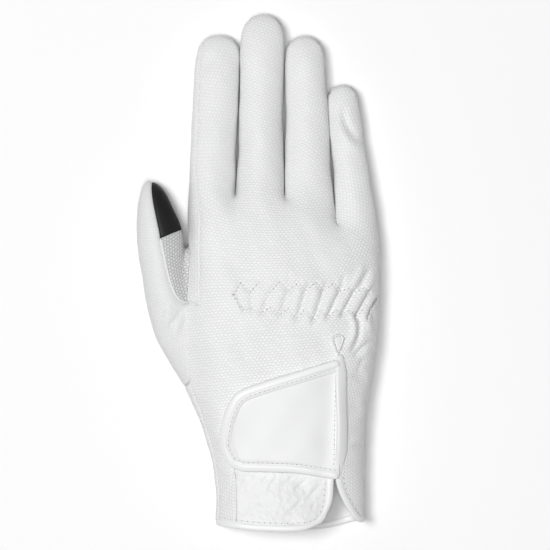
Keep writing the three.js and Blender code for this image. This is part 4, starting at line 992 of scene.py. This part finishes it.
outline = [on_tab(at, low) for at, _, low in TAB_EDGE[::-1]] + [on_tab(at, high) for at, high, _ in TAB_EDGE]
outline = smooth_line(outline, 0.8)


def tab_line(inset):
    """The tab's outline, from its lower corner round the end to its upper corner, moved inwards."""
    way = np.gradient(outline, axis=0)
    way /= np.linalg.norm(way, axis=1)[:, None]
    return outline + np.column_stack([way[:, 1], -way[:, 0]]) * inset


def back_height(x, y):
    """Height of the back of the hand, also over the slit, where the leather on either side of it counts."""
    found = [surface(form_tree, x + step, y)[0] for step in (0.0, -6.0, 6.0)]
    heights = [p.z if p else 0.0 for p in found]
    return heights[0] if heights[0] > 12 else max(heights[1:])


GRID_STEP = 1.5
grid_x = np.arange(outline[:, 0].min() - 2, outline[:, 0].max() + 3, GRID_STEP)
grid_y = np.arange(outline[:, 1].min() - 2, outline[:, 1].max() + 3, GRID_STEP)
heights = np.array([[back_height(gx, gy) for gx in grid_x] for gy in grid_y])
rows, columns = heights.shape
for _ in range(3):
    padded = np.pad(heights, 1, mode="edge")
    heights = sum(padded[j : j + rows, i : i + columns] for j in (0, 1, 2) for i in (0, 1, 2)) / 9


def tab_top(x, y, inside):
    """Height of the tab's upper side, which lies closer to the hand at its edge than over the fastener."""
    gx = np.clip((x - grid_x[0]) / GRID_STEP, 0, len(grid_x) - 1.001)
    gy = np.clip((y - grid_y[0]) / GRID_STEP, 0, len(grid_y) - 1.001)
    i, j = int(gx), int(gy)
    fx, fy = gx - i, gy - j
    low = heights[j, i] * (1 - fx) + heights[j, i + 1] * fx
    high = heights[j + 1, i] * (1 - fx) + heights[j + 1, i + 1] * fx
    edge = mix(TAB_RISE["end"], TAB_RISE["corner"], ease((x - tab_corner.x + TAB_LENGTH) / TAB_LENGTH))
    middle = mix(TAB_RISE["corner"], TAB_RISE["middle"], ease((tab_corner.x - x) / TAB_SLOPE))
    return low * (1 - fy) + high * fy + mix(edge, middle, ease(inside / TAB_EDGE_WIDTH)) + TAB_THICKNESS


leather_edge = tab_line(2.4)
turn = int(np.argmin(leather_edge[:, 0]))
lower_half, upper_half = leather_edge[: turn + 1][::-1], leather_edge[turn:]
tab = bmesh.new()
bmesh.ops.create_grid(tab, x_segments=130, y_segments=110, size=0.5)
grid_places = np.array([v.co[:2] for v in tab.verts]) + 0.5
shape_u = 1 - np.cos(np.clip(grid_places[:, 0], 0, 1) * math.pi / 2)
tab_x = leather_edge[:, 0].min() + shape_u * (leather_edge[:, 0].max() - leather_edge[:, 0].min())
low_y = np.interp(tab_x, lower_half[:, 0], lower_half[:, 1])
high_y = np.interp(tab_x, upper_half[:, 0], upper_half[:, 1])
tab_y = low_y + grid_places[:, 1] * (high_y - low_y)
flat_places = np.column_stack([tab_x, tab_y])
from_edge, _ = beside(flat_places, outline)
from_edge = np.minimum(from_edge, 12.0)
# The welt runs along the round end and the upper edge, with a dip inside it. A groove follows the binding all round.
from_welt, _ = beside(flat_places, outline[int(len(outline) * 0.4) :])
raised = 0.34 * np.exp(-(((from_welt - 4.75) / 0.42) ** 2)) - 0.22 * np.exp(-(((from_welt - 5.7) / 0.4) ** 2))
raised -= 0.2 * np.exp(-(((from_edge - 3.9) / 0.45) ** 2))
wobble = 0.1 * np.sin(tab_x * 0.31 + 1.0) * np.sin(tab_y * 0.23 + 0.4)
for v, (px, py), inside, extra in zip(tab.verts, flat_places, from_edge, raised + wobble):
    v.co = (px, py, tab_top(px, py, inside) + extra)
bmesh.ops.recalc_face_normals(tab, faces=tab.faces)
if sum(f.normal.z for f in tab.faces) < 0:
    bmesh.ops.reverse_faces(tab, faces=tab.faces)
tab_tree = BVHTree.FromBMesh(tab)
tab_mesh = mesh_of(tab, "closure_tab_leather")
thicken(finished("closure_tab_leather", tab_mesh, plain, "smooth_leather", "closure_tab"), TAB_WALL)

TAB_BINDING, TAB_BINDING_HALF_THICKNESS = 3.7, 0.98
middle_line = tab_line(TAB_BINDING / 2)
way = np.gradient(middle_line, axis=0)
way /= np.linalg.norm(way, axis=1)[:, None]
tab_stations = []
for (px, py), (wx, wy) in zip(middle_line, way):
    out_x, out_y = -wy, wx
    inner = tab_top(px - out_x * 1.2, py - out_y * 1.2, 3.0)
    outer = tab_top(px + out_x * 1.2, py + out_y * 1.2, 0.6)
    out = Vector((out_x, out_y, (outer - inner) / 2.4)).normalized()
    up = Vector((0, 0, 1))
    up = (up - out * up.dot(out)).normalized()
    tab_stations.append((Vector((px, py, (inner + outer) / 2 - 0.62)), out, up))
tab_roll = sweep(tab_stations, TAB_BINDING / 2, TAB_BINDING_HALF_THICKNESS, sides=14, power=0.7)
tab_roll_tree = BVHTree.FromPolygons([v.co[:] for v in tab_roll.vertices], [p.vertices[:] for p in tab_roll.polygons])
finished("tab_binding_roll", tab_roll, binding_paint, "binding_leather", "tab_binding")
TAB_END_SEAM = np.array([(35.1, -45.5), (34.9, -58.5), (34.6, -76.8), (34.3, -88.5)])
tab_lines, tab_trees = [tab_line(4.1), TAB_END_SEAM], [tab_tree, tab_roll_tree, skin_tree]
sew("tab", tab_lines, tab_trees, pitch=2.2, length=1.6, radius=0.2, hole=0.26, slot="smooth_leather")

# The fastener under the tab: a pad of woven hook tape with small stiff hooks, sewn to the back. The tab hides it.
PAD_ALONG, PAD_ACROSS = (0.3, 0.8), (0.22, 0.66)  # shares of the tab's length and height
PAD_TOP, PAD_THICKNESS = 0.95, 0.9
pad = bmesh.new()
bmesh.ops.create_grid(pad, x_segments=24, y_segments=24, size=0.5)
for v in pad.verts:
    px, py = on_tab(mix(*PAD_ALONG, v.co.x + 0.5), mix(*PAD_ACROSS, v.co.y + 0.5))
    v.co = (px, py, back_height(px, py) + PAD_TOP)
pad_mesh = mesh_of(pad, "hook_tape")
hook_paint = bpy.data.materials.new("hook_tape")
hook_paint.use_nodes = True
hook_nodes, hook_links = hook_paint.node_tree.nodes, hook_paint.node_tree.links
hook_where = hook_nodes.new("ShaderNodeTexCoord")
hooks = hook_nodes.new("ShaderNodeTexVoronoi")
hooks.inputs["Scale"].default_value = 900.0
hooks.inputs["Randomness"].default_value = 0.25
hook_links.new(hook_where.outputs["Object"], hooks.inputs["Vector"])
hook_bump = hook_nodes.new("ShaderNodeBump")
hook_bump.invert = True
hook_bump.inputs["Distance"].default_value = 0.0005
hook_links.new(hooks.outputs["Distance"], hook_bump.inputs["Height"])
# Painted shade: the tape is coloured darker away from the middle of each hook cell, in the low places between the
# hooks.
hook_painted_shade = hook_nodes.new("ShaderNodeMix")
hook_painted_shade.data_type = "RGBA"
hook_painted_shade.inputs["A"].default_value = (0.82, 0.82, 0.82, 1.0)
hook_painted_shade.inputs["B"].default_value = (0.55, 0.55, 0.56, 1.0)
hook_links.new(hooks.outputs["Distance"], hook_painted_shade.inputs["Factor"])
hook_links.new(hook_painted_shade.outputs["Result"], hook_nodes["Principled BSDF"].inputs["Base Color"])
hook_links.new(hook_bump.outputs["Normal"], hook_nodes["Principled BSDF"].inputs["Normal"])
hook_nodes["Principled BSDF"].inputs["Roughness"].default_value = 0.8
thicken(finished("hook_tape", pad_mesh, hook_paint, "hook_fabric", "fastener_pad"), PAD_THICKNESS)

# The stay: a teardrop of smooth leather that stops the slit from tearing. It is raised at its rim and sewn on inside
# it.
STAY_WIDTH, STAY_LENGTH, STAY_TOP, STAY_THICKNESS = 6.2, 9.4, 0.7, 1.6
STAY_OUTLINE = [(-0.5, 0.03), (-0.3, 0.2), (0.05, 0.4), (0.3, 0.5), (0.42, 0.36), (0.5, 0.08)]  # along, half width
STAY_SEAM_WIDTH, STAY_SEAM_LENGTH = 0.55 * STAY_WIDTH, 0.78 * STAY_LENGTH
stay_centre = Vector((0.255 * HAND_WIDTH, 0.571 * HAND_LENGTH, 0)) + FORM_CENTRE
stay = bmesh.new()
bmesh.ops.create_grid(stay, x_segments=22, y_segments=44, size=0.5)
stay_along = [a for a, _ in STAY_OUTLINE]
stay_half = [h for _, h in STAY_OUTLINE]
for v in stay.verts:
    side, along = 2 * v.co.x, v.co.y
    half = float(np.interp(along, stay_along, stay_half)) * STAY_WIDTH
    px, py = stay_centre.x + side * half, stay_centre.y + along * STAY_LENGTH
    rim_gap = min((1 - abs(side)) * half, (0.5 - abs(along)) * STAY_LENGTH)
    lip = 0.45 * math.exp(-(((rim_gap - 0.5) / 0.45) ** 2)) - 0.15 * math.exp(-(((rim_gap - 1.3) / 0.4) ** 2))
    v.co = (px, py, back_height(px, py) + STAY_TOP + lip)
stay_tree = BVHTree.FromBMesh(stay)
stay_mesh = mesh_of(stay, "slit_stay_leather")
thicken(finished("slit_stay_leather", stay_mesh, plain, "smooth_leather", "slit_stay"), STAY_THICKNESS)
loop = []
for side, seam in ((1, STAY_OUTLINE), (-1, STAY_OUTLINE[::-1])):
    for a, h in seam:
        loop.append((stay_centre.x + side * h * STAY_SEAM_WIDTH, stay_centre.y + a * STAY_SEAM_LENGTH))
sew("stay", [np.array(loop)], [stay_tree], pitch=1.5, length=1.0, radius=0.16, hole=0.26, slot="smooth_leather")

# Hem seams: the thread that holds the binding, just inside it along both flaps of the V, wherever the tab leaves the
# edge free.
HEM_SEAM_INSET, HEM_SEAM_TOP = 2.3, -93.5
hem_runs = [[]]
for centre, out, up in binding_stations:
    place = (centre - out * HEM_SEAM_INSET)[:2]
    if up.z > 0.25 and place[1] < HEM_SEAM_TOP:
        hem_runs[-1].append(place)
    elif hem_runs[-1]:
        hem_runs.append([])
hem_runs = [np.array(run) for run in hem_runs if len(run) > 4]
sew("hem", hem_runs, [skin_tree], pitch=2.6, length=1.9, radius=0.2, hole=0.27, slot="binding_leather")
